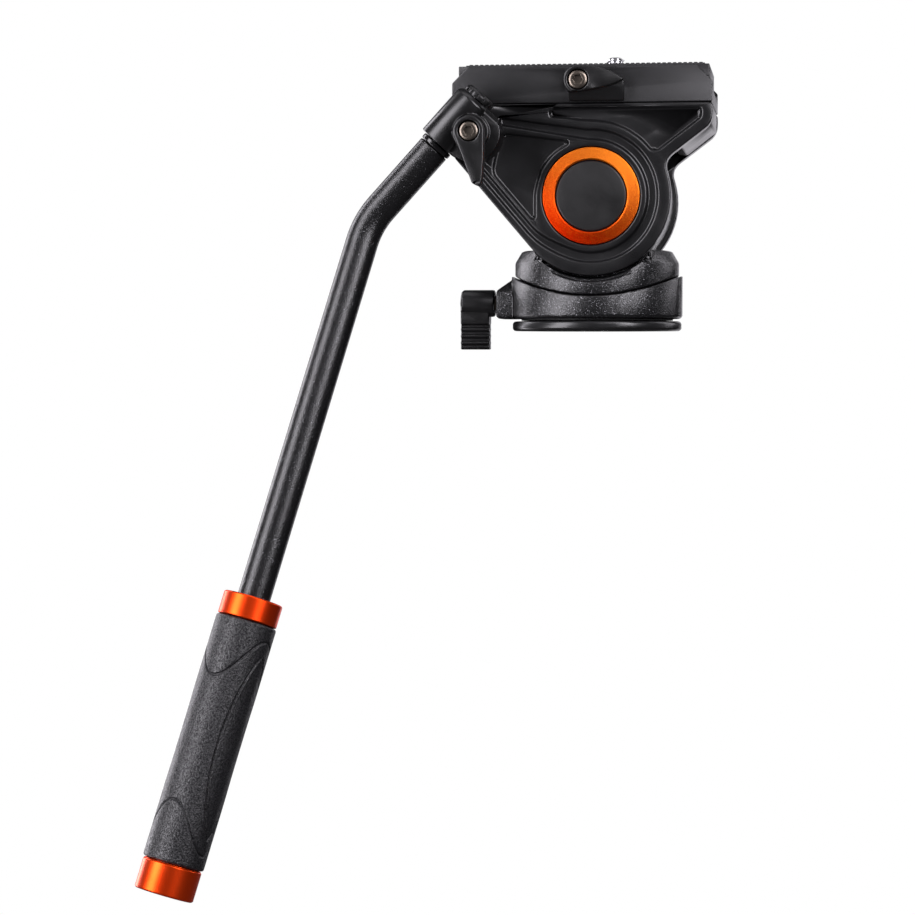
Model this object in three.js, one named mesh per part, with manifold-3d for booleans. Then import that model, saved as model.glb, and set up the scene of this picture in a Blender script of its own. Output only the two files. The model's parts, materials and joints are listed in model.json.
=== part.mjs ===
// A fluid video head for a tripod: pan base, tilting cradle with a quick-release plate, bent pan handle.
// Millimetres, +Z up, +X the way the lens points, -Y the side that carries the handle.
// The origin is the centre of the flat underside.
import * as THREE from 'three';
import { mergeVertices } from 'three/addons/utils/BufferGeometryUtils.js';
import Module from 'manifold-3d';

const wasm = await Module();
wasm.setup();

// Fits
const gap = 0.3; // between pieces that touch or run on each other
const overrun = 2; // how far a cutter passes the faces that it cuts
const weld = 0.0001; // corners nearer than this are one corner

// Steps round a circle
const waveSteps = 80;
const largeSteps = 48;
const middleSteps = 32;
const smallSteps = 20;
const tinySteps = 12;
const curveSteps = 6; // points on an outline's short curve
const arcStep = THREE.MathUtils.degToRad(6); // angle between the points of an outline's arc

// Base disc and its hub
const baseRadius = 30;
const baseThickness = 3.4;
const baseChamfer = 0.7;
const hubRadius = 13;
const hubShoulder = 16; // height of the shoulder that carries the drag plate
const hubNeckRadius = 11;
const hubTop = 21.7;

// Tripod thread: a 3/8 inch insert
const threadRadius = 4.2;
const insertRadius = 7.5;
const insertHeight = 11;

// Pan spindle and its nut
const spindleRadius = 4;
const spindleNutRadius = 7;
const spindleNutHeight = 4;
const spindleWasherRadius = 7.7;
const washerThickness = 1.2;
const spindleTail = 1.5; // thread that shows past the nut

// Pan drag
const dragPlateRadius = 19.4;
const dragPlateThickness = 1.2;
const dampingRingThickness = 1;
const thrustWidth = 5;
const thrustThickness = 0.6;

// Collar round the pan housing, with its wavy upper edge and the boss of the pan lock
const collarLip = 0.35; // how far the collar stands out over the base disc
const collarRadius = baseRadius + collarLip;
const collarWall = 2.75;
const collarLift = 0.9; // running gap between base disc and collar
const collarHigh = 19.5; // edge height at the front and the back
const collarLow = 11.9; // edge height at the two sides
const collarLine = 0.5; // dark line between the wavy edge and the housing
const bossProud = 4.95; // how far the boss stands out over the collar
const bossReach = collarRadius + bossProud;
const bossWidth = 17;
const bossShoulder = 14.6;
const bossCorner = 1;

// Pan housing
const housingStep = 1.25; // how far the collar stands out over the housing
const housingRadius = collarRadius - housingStep;
const housingShoulder = 24; // height where the top chamfer starts
const housingTop = 28.2;
const housingTopInset = 2.5; // how far the top's edge lies inside the side
const housingWall = 2.3;
const cavityTop = 14.5;
const floorTop = 26; // floor of the tower, under the spindle nut
const bushWall = 2;

// Pan lock
const lockHeight = 9.9;
const lockScrewRadius = 2.5;
const brakePadRadius = 3;
const brakePadLength = 4.2;
const brakeGuideWall = 1.9;
const knobHubRadius = 4.8;
const knobHubLength = 12.1;
const knobStandoff = 1.2; // between the boss and the knob
const knobWingReach = 16.5;
const knobWingLength = 10.3;
const knobWingRoot = 7;
const knobWingTip = 5.2;
const knobRibCount = 4;
const knobRibPitch = 2.4;
const knobRibDepth = 0.4;

// Tilt axis and the drum that carries it
const tiltHeight = 46.5;
const drumRadius = 26;
const drumHalfWidth = 20.6;
const chamberRadius = 17;
const chamberHalfWidth = 9;
const neckHalfLength = 20;
const axleRadius = 5;
const axleThreadRadius = 4;
const tiltBushWall = 3.4;
const tiltBushLength = 5.4;
const tiltDragThickness = 1.3;
const axleNutRadius = 7.5;
const axleNutHeight = 2;

// Cheeks
const cheekInner = 21; // distance of the inner face from the middle plane
const cheekOuter = 28;
const cheekFlange = 2.1; // thickness of the outer layer that has the full outline
const cheekRound = 27.5;
const cheekTop = 31.8; // above the tilt axis
const cheekFront = 41.7;
const cheekRear = 48.5;
const cheekChin = 24.8; // height of the front corner above the tilt axis
const chinSlope = THREE.MathUtils.degToRad(37.2);
const chinFillet = 3.4;
const throatFillet = 4.2;
const heelHeight = 14.5; // height of the rear corner above the tilt axis
const heelFillet = 2.5;
const flangeStep = 3.6; // how far the inner layer stays inside the rear edge
const cheekTopFillet = 0.8;
const layerRecess = 0.9; // room round the inner layer in the housing
const flangeRecess = 2.2; // room round the outer layer in the housing

// Relief in the cheeks' outer faces: sizes at the floor of each hollow, whose walls slope outward
const reliefDepth = 1.4;
const reliefSlope = 0.8;
const reliefCorner = 2.6; // reach of the rounding at a sharp corner
const channelInner = 19.9;
const channelOuter = 22.5;
const channelRear = 31.2; // where the channel ends behind the tilt axis
const channelRearLow = 25;
const channelRearHigh = 26.8;
const channelBend = THREE.MathUtils.degToRad(-110); // where the channel leaves the round for the rear edge
const channelRim = 3.05; // between the channel and the rear edge
const channelWidth = 1.65; // along the rear edge
const ridgeOuter = 26.3;
const frontPocketRear = 12.8;
const pocketMargin = 4.3; // rim between the front pocket and the cheek's edge
const pocketTopMargin = 2.1;
const rearPocketMargin = 7; // rim between the rear pocket and the rear edge
const rearPocketFront = 19.9;
const rearPocketCorner = 1.6;
const rearPocketHigh = 21.4;
const rearPocketLow = 18.7; // height of the pocket's upper edge at its front end
const rearPocketNose = 9.2; // where the pocket's upper edge ends behind the tilt axis
const rearPocketArc = [118, 154].map(THREE.MathUtils.degToRad);

// Ring and cap over each end of the tilt axle
const ringOuter = 16.85;
const ringInner = 12.43;
const ringProud = 0.5;
const ringThickness = 1.4;

// Bridge between the cheeks
const bridgeThickness = 3.2;
const bridgeFrontWall = 13;
const bridgeRearWall = 6;
const bridgeRearDepth = 13;
const tieRadius = 2;
const tieEnd = 3; // how far a tie stud goes into each cheek

// Plate receiver
const receiverFront = 41.6;
const receiverRear = 48.5;
const receiverHalfWidth = 27.5;
const receiverHeight = 12.9;
const receiverFloor = 4.7;
const receiverCorner = 5.7;
const railFoot = 24.4; // half width of the channel at its floor
const railMouth = 22.6; // half width of the channel at its top
const railFootHeight = 1.8;
const railSlopeHeight = 3;
const receiverScrewRadius = 2;
const receiverScrewHead = 3.8;
const receiverScrewHeadHeight = 2;
const receiverScrewSpread = 13;
const receiverScrewLength = 7;

// Quick-release plate, rubber pad and camera screw
const plateFront = 40.4;
const plateRear = 46.8;
const plateProud = 0.6; // height of the plate over the receiver's edges
const padFrontMargin = 1.3;
const padRearMargin = 2;
const padSideMargin = 2;
const padRecess = 0.6;
const padBody = 0.85;
const padRibHeight = 0.25;
const padRibPitch = 1.82;
const padRibShare = 0.7;
const cameraScrewPlace = 6.4;
const cameraScrewRadius = 3.17;
const cameraScrewTop = 18.1; // above the receiver's underside
const cameraScrewTip = 0.8;
const cameraScrewHeadRadius = 8;
const cameraScrewHeadHeight = 2.2;
const cameraScrewSlot = 1.6;
const slotRear = 18;
const slotFront = 12;
const sliderRadius = 7;
const sliderThickness = 0.8;

// Plate lock on the receiver's near side
const plateLockPlace = -4.2;
const plateLockHeight = 7.5; // above the receiver's underside
const plateLeverHead = 4.9;
const plateLeverReach = 15.8;
const plateLeverThickness = 6;
const plateLeverSkirt = 7; // how far the lever's lower side hangs below its pivot
const plateLeverSkirtRear = 3.4;
const plateLeverSkirtFace = 4.6; // how far the skirt's upper edge stands out
const plateLeverSkirtFoot = 2;
const plateLeverBelly = 3.2; // depth of the leaf's lower curve
const plateLeverBellyShare = 0.68; // of the reach
const plateLeverBackShare = 0.58; // of the reach
const jawLength = 24;
const jawHeight = 5;
const jawWall = 1.3; // receiver wall left behind the jaw
const jawTravel = 0.6; // between holding the plate and letting it slide

// Screw and stud that hold each locking lever
const boltHeadRadius = 3.3;
const boltHeadHeight = 1.6;
const boltRadius = 1.9;
const boltLength = 4.2;
const boltSocketRadius = 1.7;
const boltSocketDepth = 1;
const leverSink = 0.3; // how far the bolt's head lies under the lever's face

// Handle clamp and tilt lock levers
const leverHead = 5.15;
const leverReach = 19;
const leverThickness = 5.6;
const leverTip = 2;
const clampStudRadius = 3.8;
const clampStudSink = 1.5; // how far the wide part of the clamp's stud goes into the block
const clampRodRadius = 2.2; // the stud's slim part, past the handle's spigot
const lockStudRadius = 3;
const tiltLockRadius = 22.4; // distance of the tilt lock from the tilt axis
const tiltLockAngle = THREE.MathUtils.degToRad(135);
const tiltPadRadius = 2.6;
const tiltPadLength = 2.6;

// Handle block
const pivotX = -39.85;
const pivotZ = 21; // above the tilt axis
const rosetteRadius = 9.6;
const rosetteThickness = 1.9;
const blockRadius = 9.9;
const blockDepth = 12;
const clampBossRadius = 6.2;
const clampBossHeight = 2.6;
const handleAngle = THREE.MathUtils.degToRad(42.25);
const sleeveOffset = 6.7;
const sleeveRadius = 7.4;
const sleeveTop = 9.4; // above the pivot, along the sleeve
const sleeveMouth = 10.4; // below the pivot, along the sleeve
const sleeveChamfer = 1.3; // at the top of the sleeve and of the block's outer edge
const spigotRadius = 3.6;
const neckRadius = 5.8;
const spigotThreadRadius = 2.5;
const spigotPlug = 12;
const neckLength = 2.4;
const endNutRadius = 5.75;
const endNutHeight = 2.5;
const endNutCrown = 0.9;
const endNutNotches = 14;
const endNutNotchDepth = 0.45;

// Bent tube
const tubeRadius = 5.65;
const tubeWall = 1.2;
const bendPlace = 47.1; // below the pivot, along the sleeve, to the corner of the bend
const bendAngle = THREE.MathUtils.degToRad(29.4);
const bendRadius = 27;
const tubeTwist = THREE.MathUtils.degToRad(25);
const lowerLength = 232; // from the corner of the bend to the end of the tube

// Grip and its two metal rings
const ferruleLength = 7.9;
const ferruleRadius = 10.25;
const gripRadius = 10.5;
const gripLength = 84.4;
const endCapRadius = 10.3;
const endCapLength = 10.6;
const tubeInCap = 3.5; // how far the tube enters the end cap
const edgeRound = 0.8;

const quarterTurn = Math.PI / 2;
const fullTurn = Math.PI * 2;

// Ways to lay a solid of revolution, whose own axis is Y.
const alongX = (geometry) => geometry.rotateZ(-quarterTurn);
const alongY = (geometry) => geometry;
const alongZ = (geometry) => geometry.rotateX(quarterTurn);

// Joining and cutting

// A closed geometry as a solid, with its shared corners merged and its faces pointing out.
function solid(geometry) {
  geometry.deleteAttribute('normal');
  geometry.deleteAttribute('uv');
  const merged = mergeVertices(geometry, weld);
  const places = merged.getAttribute('position');
  const corners = merged.getIndex().array;
  const triangles = [];
  let volume = 0;
  const [a, b, c] = [new THREE.Vector3(), new THREE.Vector3(), new THREE.Vector3()];
  for (let i = 0; i < corners.length; i += 3) {
    const [u, v, w] = [corners[i], corners[i + 1], corners[i + 2]];
    if (u === v || v === w || w === u) continue;
    triangles.push([u, v, w]);
    a.fromBufferAttribute(places, u);
    b.fromBufferAttribute(places, v);
    c.fromBufferAttribute(places, w);
    volume += a.dot(b.cross(c));
  }
  const outward = volume > 0 ? triangles : triangles.map(([u, v, w]) => [u, w, v]);
  return new wasm.Manifold(new wasm.Mesh({
    numProp: 3,
    vertProperties: new Float32Array(places.array),
    triVerts: Uint32Array.from(outward.flat()),
  }));
}

// A solid of revolution from [radius, height] corners, listed once round the section.
function turned(section, steps = middleSteps, lay = alongZ, at = [0, 0, 0]) {
  const points = [...section, section[0]].map(([r, h]) => new THREE.Vector2(r, h));
  return solid(lay(new THREE.LatheGeometry(points, steps)).translate(...at));
}

// A round rod from low to high along the given way.
function rod(radius, low, high, steps = smallSteps, lay = alongZ, at = [0, 0, 0]) {
  return turned([[0, low], [radius, low], [radius, high], [0, high]], steps, lay, at);
}

// A hollow rod.
function tube(inner, outer, low, high, steps = middleSteps, lay = alongZ, at = [0, 0, 0]) {
  return turned([[inner, low], [outer, low], [outer, high], [inner, high]], steps, lay, at);
}

// A tube whose outer edges are chamfered.
function softTube(inner, outer, low, high, edge, steps = middleSteps) {
  return turned([
    [inner, low], [outer - edge, low], [outer, low + edge],
    [outer, high - edge], [outer - edge, high], [inner, high],
  ], steps);
}

// A block between two corners.
function block(low, high) {
  const size = high.map((v, i) => v - low[i]);
  const middle = high.map((v, i) => (v + low[i]) / 2);
  return solid(new THREE.BoxGeometry(...size).translate(...middle));
}

// A plate cut to an outline in X and Z, between two distances along Y.
function plate(outline, low, high) {
  const options = { depth: high - low, bevelEnabled: false, curveSegments: curveSteps, steps: 1 };
  return solid(new THREE.ExtrudeGeometry(outline, options).rotateX(quarterTurn).translate(0, high, 0));
}

// A plate between two distances from the middle plane, on the near side (-1) or the far side (1).
function sidePlate(side, outline, inner, outer) {
  return side < 0 ? plate(outline, -outer, -inner) : plate(outline, inner, outer);
}

// A bar cut to an outline in Y and Z, between two places along X.
function bar(outline, low, high) {
  const options = { depth: high - low, bevelEnabled: false, curveSegments: curveSteps, steps: 1 };
  const geometry = new THREE.ExtrudeGeometry(outline, options);
  return solid(geometry.rotateX(quarterTurn).rotateZ(quarterTurn).translate(low, 0, 0));
}

// A cutter for a shallow pocket with sloping walls in a cheek's outer face.
function pocketCutter(side, outline) {
  const geometry = new THREE.ExtrudeGeometry(outline, {
    depth: overrun,
    bevelEnabled: true,
    bevelThickness: reliefDepth,
    bevelSize: reliefSlope,
    bevelSegments: 1,
    curveSegments: curveSteps,
    steps: 1,
  });
  return solid(geometry.rotateX(quarterTurn).scale(1, -side, 1).translate(0, side * cheekOuter, 0));
}

// A shape from straight-sided corners.
function polygon(points) {
  return new THREE.Shape(points.map(([x, y]) => new THREE.Vector2(x, y)));
}

// Adds an arc to an outline, from one angle to another.
function addArc(shape, [x, y], radius, from, to) {
  const count = Math.ceil(Math.abs(to - from) / arcStep);
  for (let i = 0; i <= count; i += 1) {
    const angle = from + (to - from) * i / count;
    shape.lineTo(x + radius * Math.cos(angle), y + radius * Math.sin(angle));
  }
}

// A hexagonal bar about Y, between two distances.
function hexagon(radius, low, high, lay = alongY, at = [0, 0, 0]) {
  return rod(radius, low, high, 6, lay, at);
}

// Finishes
const finish = (color, roughness, metalness) => () =>
  new THREE.MeshStandardMaterial({ color, roughness, metalness });
const satinBlack = finish(0x1b1b1d, 0.5, 0.2);
const sparkBlack = finish(0x242428, 0.55, 0.35);
const orange = finish(0xe8641b, 0.32, 0.85);
const blackPlastic = finish(0x161617, 0.6, 0);
const rubber = finish(0x1a1a1c, 0.85, 0);
const steel = finish(0xb9b9bb, 0.3, 1);
const darkSteel = finish(0x8d8278, 0.35, 1);
const bronze = finish(0xa9824f, 0.4, 1);
const acetal = finish(0xdfdcd2, 0.5, 0);

// Adds a named piece to a group.
function addPiece(parent, name, body, surface) {
  const { vertProperties, triVerts } = body.getMesh();
  const geometry = new THREE.BufferGeometry();
  geometry.setAttribute('position', new THREE.BufferAttribute(new Float32Array(vertProperties), 3));
  geometry.setIndex(new THREE.BufferAttribute(new Uint32Array(triVerts), 1));
  geometry.computeVertexNormals();
  const mesh = new THREE.Mesh(geometry, surface());
  mesh.name = name;
  parent.add(mesh);
}

// Base

function baseDisc() {
  const seat = insertHeight + gap;
  const disc = turned([
    [0, 0], [baseRadius - baseChamfer, 0], [baseRadius, baseChamfer],
    [baseRadius, baseThickness - baseChamfer], [baseRadius - baseChamfer, baseThickness],
    [0, baseThickness],
  ], largeSteps);
  const hub = turned([
    [0, baseThickness / 2], [hubRadius, baseThickness / 2], [hubRadius, hubShoulder],
    [hubNeckRadius, hubShoulder], [hubNeckRadius, hubTop], [0, hubTop],
  ], middleSteps);
  const bores = turned([
    [0, -overrun], [insertRadius + gap, -overrun], [insertRadius + gap, seat],
    [spindleRadius + gap, seat], [spindleRadius + gap, hubTop + overrun], [0, hubTop + overrun],
  ], smallSteps);
  return disc.add(hub).subtract(bores);
}

const threadInsert = () => tube(threadRadius, insertRadius, 0, insertHeight, smallSteps);

const spindleNutLow = floorTop + gap + washerThickness + gap;

function panSpindle() {
  return rod(spindleRadius, insertHeight + 2 * gap, spindleNutLow + spindleNutHeight + spindleTail);
}

function spindleWasher() {
  const low = floorTop + gap;
  return tube(spindleRadius + gap, spindleWasherRadius, low, low + washerThickness, smallSteps);
}

function spindleNut() {
  const high = spindleNutLow + spindleNutHeight;
  const hole = rod(spindleRadius + gap, spindleNutLow - overrun, high + overrun);
  return hexagon(spindleNutRadius, spindleNutLow, high, alongZ).subtract(hole);
}

const dragPlateLow = hubShoulder + gap;
const dampingRingLow = dragPlateLow + dragPlateThickness + gap;
const ceiling = dampingRingLow + dampingRingThickness + gap; // over the drag parts, inside the housing
const bushOuter = hubNeckRadius + gap + bushWall;

const panDragPlate = () =>
  tube(hubNeckRadius + gap, dragPlateRadius, dragPlateLow, dragPlateLow + dragPlateThickness, smallSteps);
const panDampingRing = () =>
  tube(bushOuter + gap, dragPlateRadius, dampingRingLow, dampingRingLow + dampingRingThickness, smallSteps);
const panBush = () => tube(hubNeckRadius + gap, bushOuter, dampingRingLow, hubTop, smallSteps);

function panThrustWasher() {
  const low = baseThickness + gap;
  const outer = collarInner - 2 * gap;
  return tube(outer - thrustWidth, outer, low, low + thrustThickness, middleSteps);
}

// Pan housing

const collarInner = collarRadius - collarWall;
const collarBottom = baseThickness + collarLift;
const waveRise = collarHigh - collarLow;
const waveRadius = (collarRadius ** 2 + waveRise ** 2) / (2 * waveRise);
const waveCentre = collarLow + waveRadius;

// The round cutter that gives the collar its wavy upper edge.
const waveCutter = (radius) =>
  rod(radius, -2 * collarRadius, 2 * collarRadius, waveSteps, alongY, [0, 0, waveCentre]);

// The space that the collar fills, plus a fit all round.
function collarSpace() {
  const ring = tube(collarInner - gap, 2 * collarRadius, -overrun, collarHigh + overrun, largeSteps);
  return ring.subtract(waveCutter(waveRadius - collarLine));
}

function housingShell() {
  const bottom = baseThickness + gap + thrustThickness + gap;
  const outer = collarInner - gap;
  const cavity = outer - housingWall;
  const upperCavity = dragPlateRadius + gap;
  const bush = bushOuter + gap;
  return turned([
    [cavity, bottom], [housingRadius, bottom], [housingRadius, housingShoulder],
    [housingRadius - housingTopInset, housingTop], [spindleRadius + 2 * gap, housingTop],
    [spindleRadius + 2 * gap, hubTop + gap], [bush, hubTop + gap], [bush, ceiling],
    [upperCavity, ceiling], [upperCavity, cavityTop], [cavity, cavityTop],
  ], largeSteps);
}

// The drum on its neck, that carries the tilt axle between the cheeks.
function drum() {
  const low = floorTop - overrun;
  const round = rod(drumRadius, -drumHalfWidth, drumHalfWidth, largeSteps, alongY, [0, 0, tiltHeight]);
  const above = block([-drumRadius, -cheekInner, low], [drumRadius, cheekInner, 2 * tiltHeight]);
  const neck = block([-neckHalfLength, -drumHalfWidth, low], [neckHalfLength, drumHalfWidth, tiltHeight]);
  return round.intersect(above).add(neck);
}

// The chamber for the spindle nut, the bush bores and the recesses for the tilt drag.
function drumCavities() {
  const at = [0, 0, tiltHeight];
  const chamber = rod(chamberRadius, -chamberHalfWidth, chamberHalfWidth, middleSteps, alongY, at);
  const through = drumHalfWidth + overrun;
  const bore = rod(axleRadius + gap + tiltBushWall + gap, -through, through, middleSteps, alongY, at);
  const recess = chamberHalfWidth + tiltBushLength + gap;
  const near = rod(chamberRadius + gap, -through, -recess, middleSteps, alongY, at);
  const far = rod(chamberRadius + gap, recess, through, middleSteps, alongY, at);
  const well = rod(spindleWasherRadius + gap, floorTop, tiltHeight);
  return chamber.add(bore).add(near).add(far).add(well);
}

// The inner boss that guides the brake pad to the hub.
function brakeGuide() {
  const low = -(collarInner - gap - housingWall / 2);
  const radius = brakePadRadius + gap + brakeGuideWall;
  return rod(radius, low, -(hubRadius + brakePadLength), smallSteps, alongX, [0, 0, lockHeight]);
}

// The round recess in which each cheek swings; the outer part is a little deeper.
function cheekRecess(side) {
  const at = [0, 0, tiltHeight];
  const outer = 2 * collarRadius;
  const step = cheekOuter - cheekFlange - gap;
  const cut = (radius, inner) => rod(radius, ...ends(side, inner, outer), waveSteps, alongY, at);
  return cut(cheekRound + layerRecess, drumHalfWidth - gap).add(cut(cheekRound + flangeRecess, step));
}

function panHousing() {
  const padBore = brakePadRadius + gap;
  const guideHole = rod(padBore, -collarRadius, -hubRadius, smallSteps, alongX, [0, 0, lockHeight]);
  return housingShell()
    .add(brakeGuide())
    .subtract(collarSpace())
    .subtract(cheekRecess(-1))
    .subtract(cheekRecess(1))
    .add(drum())
    .subtract(drumCavities())
    .subtract(guideHole)
    .subtract(rod(spindleRadius + 2 * gap, hubTop, floorTop + overrun));
}

// The collar's boss, seen from the side.
function bossOutline() {
  const inside = -(collarInner + collarWall / 2);
  const slopeTop = collarHigh - bossCorner;
  return polygon([
    [inside, collarBottom], [-(bossReach - bossCorner), collarBottom],
    [-bossReach, collarBottom + bossCorner], [-bossReach, bossShoulder - bossCorner / 2],
    [-(bossReach - bossCorner / 2), bossShoulder], [-(collarRadius - bossCorner / 2), slopeTop],
    [inside, slopeTop],
  ]);
}

function panCollar() {
  const top = collarHigh + overrun;
  const ring = softTube(collarInner, collarRadius, collarBottom, top, edgeRound, largeSteps);
  const round = rod(bossWidth / 2, -bossReach, -collarInner, middleSteps, alongX, [0, 0, lockHeight]);
  const base = block([-bossReach, -bossWidth / 2, collarBottom], [-collarInner, bossWidth / 2, lockHeight]);
  const boss = plate(bossOutline(), -bossWidth / 2, bossWidth / 2).intersect(round.add(base));
  const at = [0, 0, lockHeight];
  const screwHole = rod(lockScrewRadius + gap, -bossReach - overrun, 0, smallSteps, alongX, at);
  return ring.subtract(waveCutter(waveRadius)).add(boss).subtract(screwHole);
}

// Pan lock

const knobInner = -(bossReach + knobStandoff);
const brakePadOuter = -(hubRadius + gap + brakePadLength);

function lockKnob() {
  const at = [0, 0, lockHeight];
  const outer = knobInner - knobHubLength;
  const hub = turned([
    [0, outer], [knobHubRadius - edgeRound, outer], [knobHubRadius, outer + edgeRound],
    [knobHubRadius, knobInner - edgeRound / 2], [knobHubRadius - edgeRound / 2, knobInner], [0, knobInner],
  ], smallSteps, alongX, at);
  const [root, tip] = [knobWingRoot / 2, knobWingTip / 2];
  const foot = lockHeight - knobWingReach;
  const wing = bar(polygon([
    [-root, lockHeight], [-root, lockHeight - knobHubRadius], [-tip, foot + edgeRound],
    [edgeRound - tip, foot], [tip - edgeRound, foot], [tip, foot + edgeRound],
    [root, lockHeight - knobHubRadius], [root, lockHeight],
  ]), outer, outer + knobWingLength);
  const [shankEnd, shankStart] = [outer + knobHubLength / 3, knobInner + overrun];
  const shank = rod(lockScrewRadius + gap, shankEnd, shankStart, smallSteps, alongX, at);
  let body = hub.add(wing).subtract(shank);
  for (let i = 0; i < knobRibCount; i += 1) {
    const height = foot + knobRibPitch * (i + 1 / 2);
    body = body.subtract(knobGroove(height, 1, outer)).subtract(knobGroove(height, -1, outer));
  }
  return body;
}

// One grip groove across a face of the knob's wing.
function knobGroove(height, side, outer) {
  const inner = side * (knobWingTip / 2 - knobRibDepth);
  const far = side * knobWingReach;
  const half = knobRibPitch / 4;
  return block(
    [outer - overrun, Math.min(inner, far), height - half],
    [outer + knobWingLength + overrun, Math.max(inner, far), height + half],
  );
}

function lockScrew() {
  const low = knobInner - knobHubLength * 2 / 3 + gap;
  const high = brakePadOuter - gap;
  return rod(lockScrewRadius, low, high, smallSteps, alongX, [0, 0, lockHeight]);
}

function panBrakePad() {
  const inner = brakePadOuter + brakePadLength;
  return rod(brakePadRadius, brakePadOuter, inner, smallSteps, alongX, [0, 0, lockHeight]);
}

// Tilt bushes and drag, placed from the tilt axis

// The two ends of a piece between two distances from the middle plane.
const ends = (side, inner, outer) => (side < 0 ? [-outer, -inner] : [inner, outer]);

function tiltBush(side) {
  const [low, high] = ends(side, chamberHalfWidth, chamberHalfWidth + tiltBushLength);
  return tube(axleRadius + gap, axleRadius + gap + tiltBushWall, low, high, smallSteps, alongY);
}

const dragDiscInner = chamberHalfWidth + tiltBushLength + 2 * gap;

function tiltDragDisc(side) {
  const [low, high] = ends(side, dragDiscInner, dragDiscInner + tiltDragThickness);
  return tube(axleRadius + gap, chamberRadius - gap, low, high, smallSteps, alongY);
}

function tiltFrictionRing(side) {
  const inner = dragDiscInner + tiltDragThickness + gap;
  const [low, high] = ends(side, inner, inner + tiltDragThickness);
  return tube(2 * axleRadius, chamberRadius, low, high, smallSteps, alongY);
}

const ringFloor = cheekOuter + ringProud - ringThickness - gap;
const nutFloor = ringFloor - axleNutHeight - gap;

function tiltAxle() {
  const shoulder = cheekInner - gap;
  const end = ringFloor - gap;
  return turned([
    [0, -end], [axleThreadRadius, -end], [axleThreadRadius, -shoulder], [axleRadius, -shoulder],
    [axleRadius, shoulder], [axleThreadRadius, shoulder], [axleThreadRadius, end], [0, end],
  ], smallSteps, alongY);
}

function axleNut(side) {
  const [low, high] = ends(side, nutFloor + gap, ringFloor - gap);
  const hole = rod(axleThreadRadius + gap, -2 * cheekOuter, 2 * cheekOuter, smallSteps, alongY);
  return hexagon(axleNutRadius, low, high).subtract(hole);
}

function tiltRing(side) {
  const [low, high] = ends(side, ringFloor + gap, cheekOuter + ringProud);
  return tube(ringInner, ringOuter, low, high, largeSteps, alongY);
}

function centreCap(side) {
  const [low, high] = ends(side, ringFloor + gap, cheekOuter + ringProud);
  return rod(ringInner - gap, low, high, largeSteps, alongY);
}

// Cheeks, placed from the tilt axis

const onRound = (radius, angle) => [radius * Math.cos(angle), radius * Math.sin(angle)];

// Where the sloping line under the chin meets a circle about the tilt axis.
function chinMeets(radius, inset = 0) {
  const [dx, dz] = [-Math.cos(chinSlope), -Math.sin(chinSlope)];
  const drop = (1 - Math.sin(chinSlope)) / Math.cos(chinSlope);
  const [x, z] = [cheekFront - inset, cheekChin + inset * drop];
  const half = x * dx + z * dz;
  const run = -half - Math.sqrt(half ** 2 - (x ** 2 + z ** 2 - radius ** 2));
  return { corner: [x, z], meet: [x + run * dx, z + run * dz], way: [dx, dz] };
}

// Angle of the point where the rear edge leaves a circle about the tilt axis.
function rearTangent(radius, heel) {
  return Math.atan2(heel[1], heel[0]) + Math.acos(radius / Math.hypot(...heel));
}

// A point some way from one corner towards another.
function towards(from, to, distance) {
  const length = Math.hypot(to[0] - from[0], to[1] - from[1]);
  return from.map((v, i) => v + (to[i] - v) * distance / length);
}

// Rounds a corner of an outline with a short curve.
function roundCorner(shape, before, corner, after, reach) {
  shape.lineTo(...towards(corner, before, reach));
  shape.quadraticCurveTo(...corner, ...towards(corner, after, reach));
}

function cheekOutline() {
  const { corner, meet, way } = chinMeets(cheekRound);
  const heel = [-cheekRear, heelHeight];
  const meetAngle = Math.atan2(meet[1], meet[0]) - throatFillet / cheekRound;
  const leave = rearTangent(cheekRound, heel);
  const [frontTop, rearTop] = [[cheekFront, cheekTop], [-cheekRear, cheekTop]];
  const shape = new THREE.Shape();
  shape.moveTo(...towards(frontTop, corner, cheekTopFillet));
  roundCorner(shape, frontTop, corner, meet, chinFillet);
  shape.lineTo(meet[0] - way[0] * throatFillet, meet[1] - way[1] * throatFillet);
  shape.quadraticCurveTo(...meet, ...onRound(cheekRound, meetAngle));
  addArc(shape, [0, 0], cheekRound, meetAngle, leave - fullTurn);
  roundCorner(shape, onRound(cheekRound, leave), heel, rearTop, heelFillet);
  roundCorner(shape, heel, rearTop, frontTop, cheekTopFillet);
  shape.lineTo(...towards(frontTop, rearTop, cheekTopFillet));
  return shape;
}

// The strip along the rear edge that the inner layer leaves free.
function rearStrip() {
  const [nx, nz] = onRound(1, rearTangent(cheekRound, [-cheekRear, heelHeight]));
  const [low, high] = [cheekRound - flangeStep, 2 * cheekRear];
  const at = (out, along) => [nx * out - nz * along, nz * out + nx * along];
  return polygon([at(low, high), at(high, high), at(high, -high), at(low, -high)]);
}

// The pocket in front of the ridge, under the receiver.
function frontPocket() {
  const { corner, meet } = chinMeets(ridgeOuter, pocketMargin);
  const top = cheekTop - pocketTopMargin;
  const frontTop = [corner[0], top];
  const lowAngle = Math.atan2(meet[1], meet[0]) + reliefCorner / ridgeOuter;
  const tailHeight = ridgeOuter + (top - ridgeOuter) / 3;
  const tailRadius = (top - tailHeight) / 2;
  const reach = (top - corner[1]) / 3;
  const shape = new THREE.Shape();
  shape.moveTo(...towards(frontTop, corner, reach));
  roundCorner(shape, frontTop, corner, meet, reach);
  shape.lineTo(...towards(meet, corner, reliefCorner));
  shape.quadraticCurveTo(...meet, ...onRound(ridgeOuter, lowAngle));
  addArc(shape, [0, 0], ridgeOuter, lowAngle, quarterTurn);
  shape.lineTo(-frontPocketRear, tailHeight);
  addArc(shape, [-frontPocketRear, top - tailRadius], tailRadius, -quarterTurn, -3 * quarterTurn);
  shape.lineTo(...towards(frontTop, [0, top], reach));
  shape.quadraticCurveTo(...frontTop, ...towards(frontTop, corner, reach));
  return shape;
}

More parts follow.
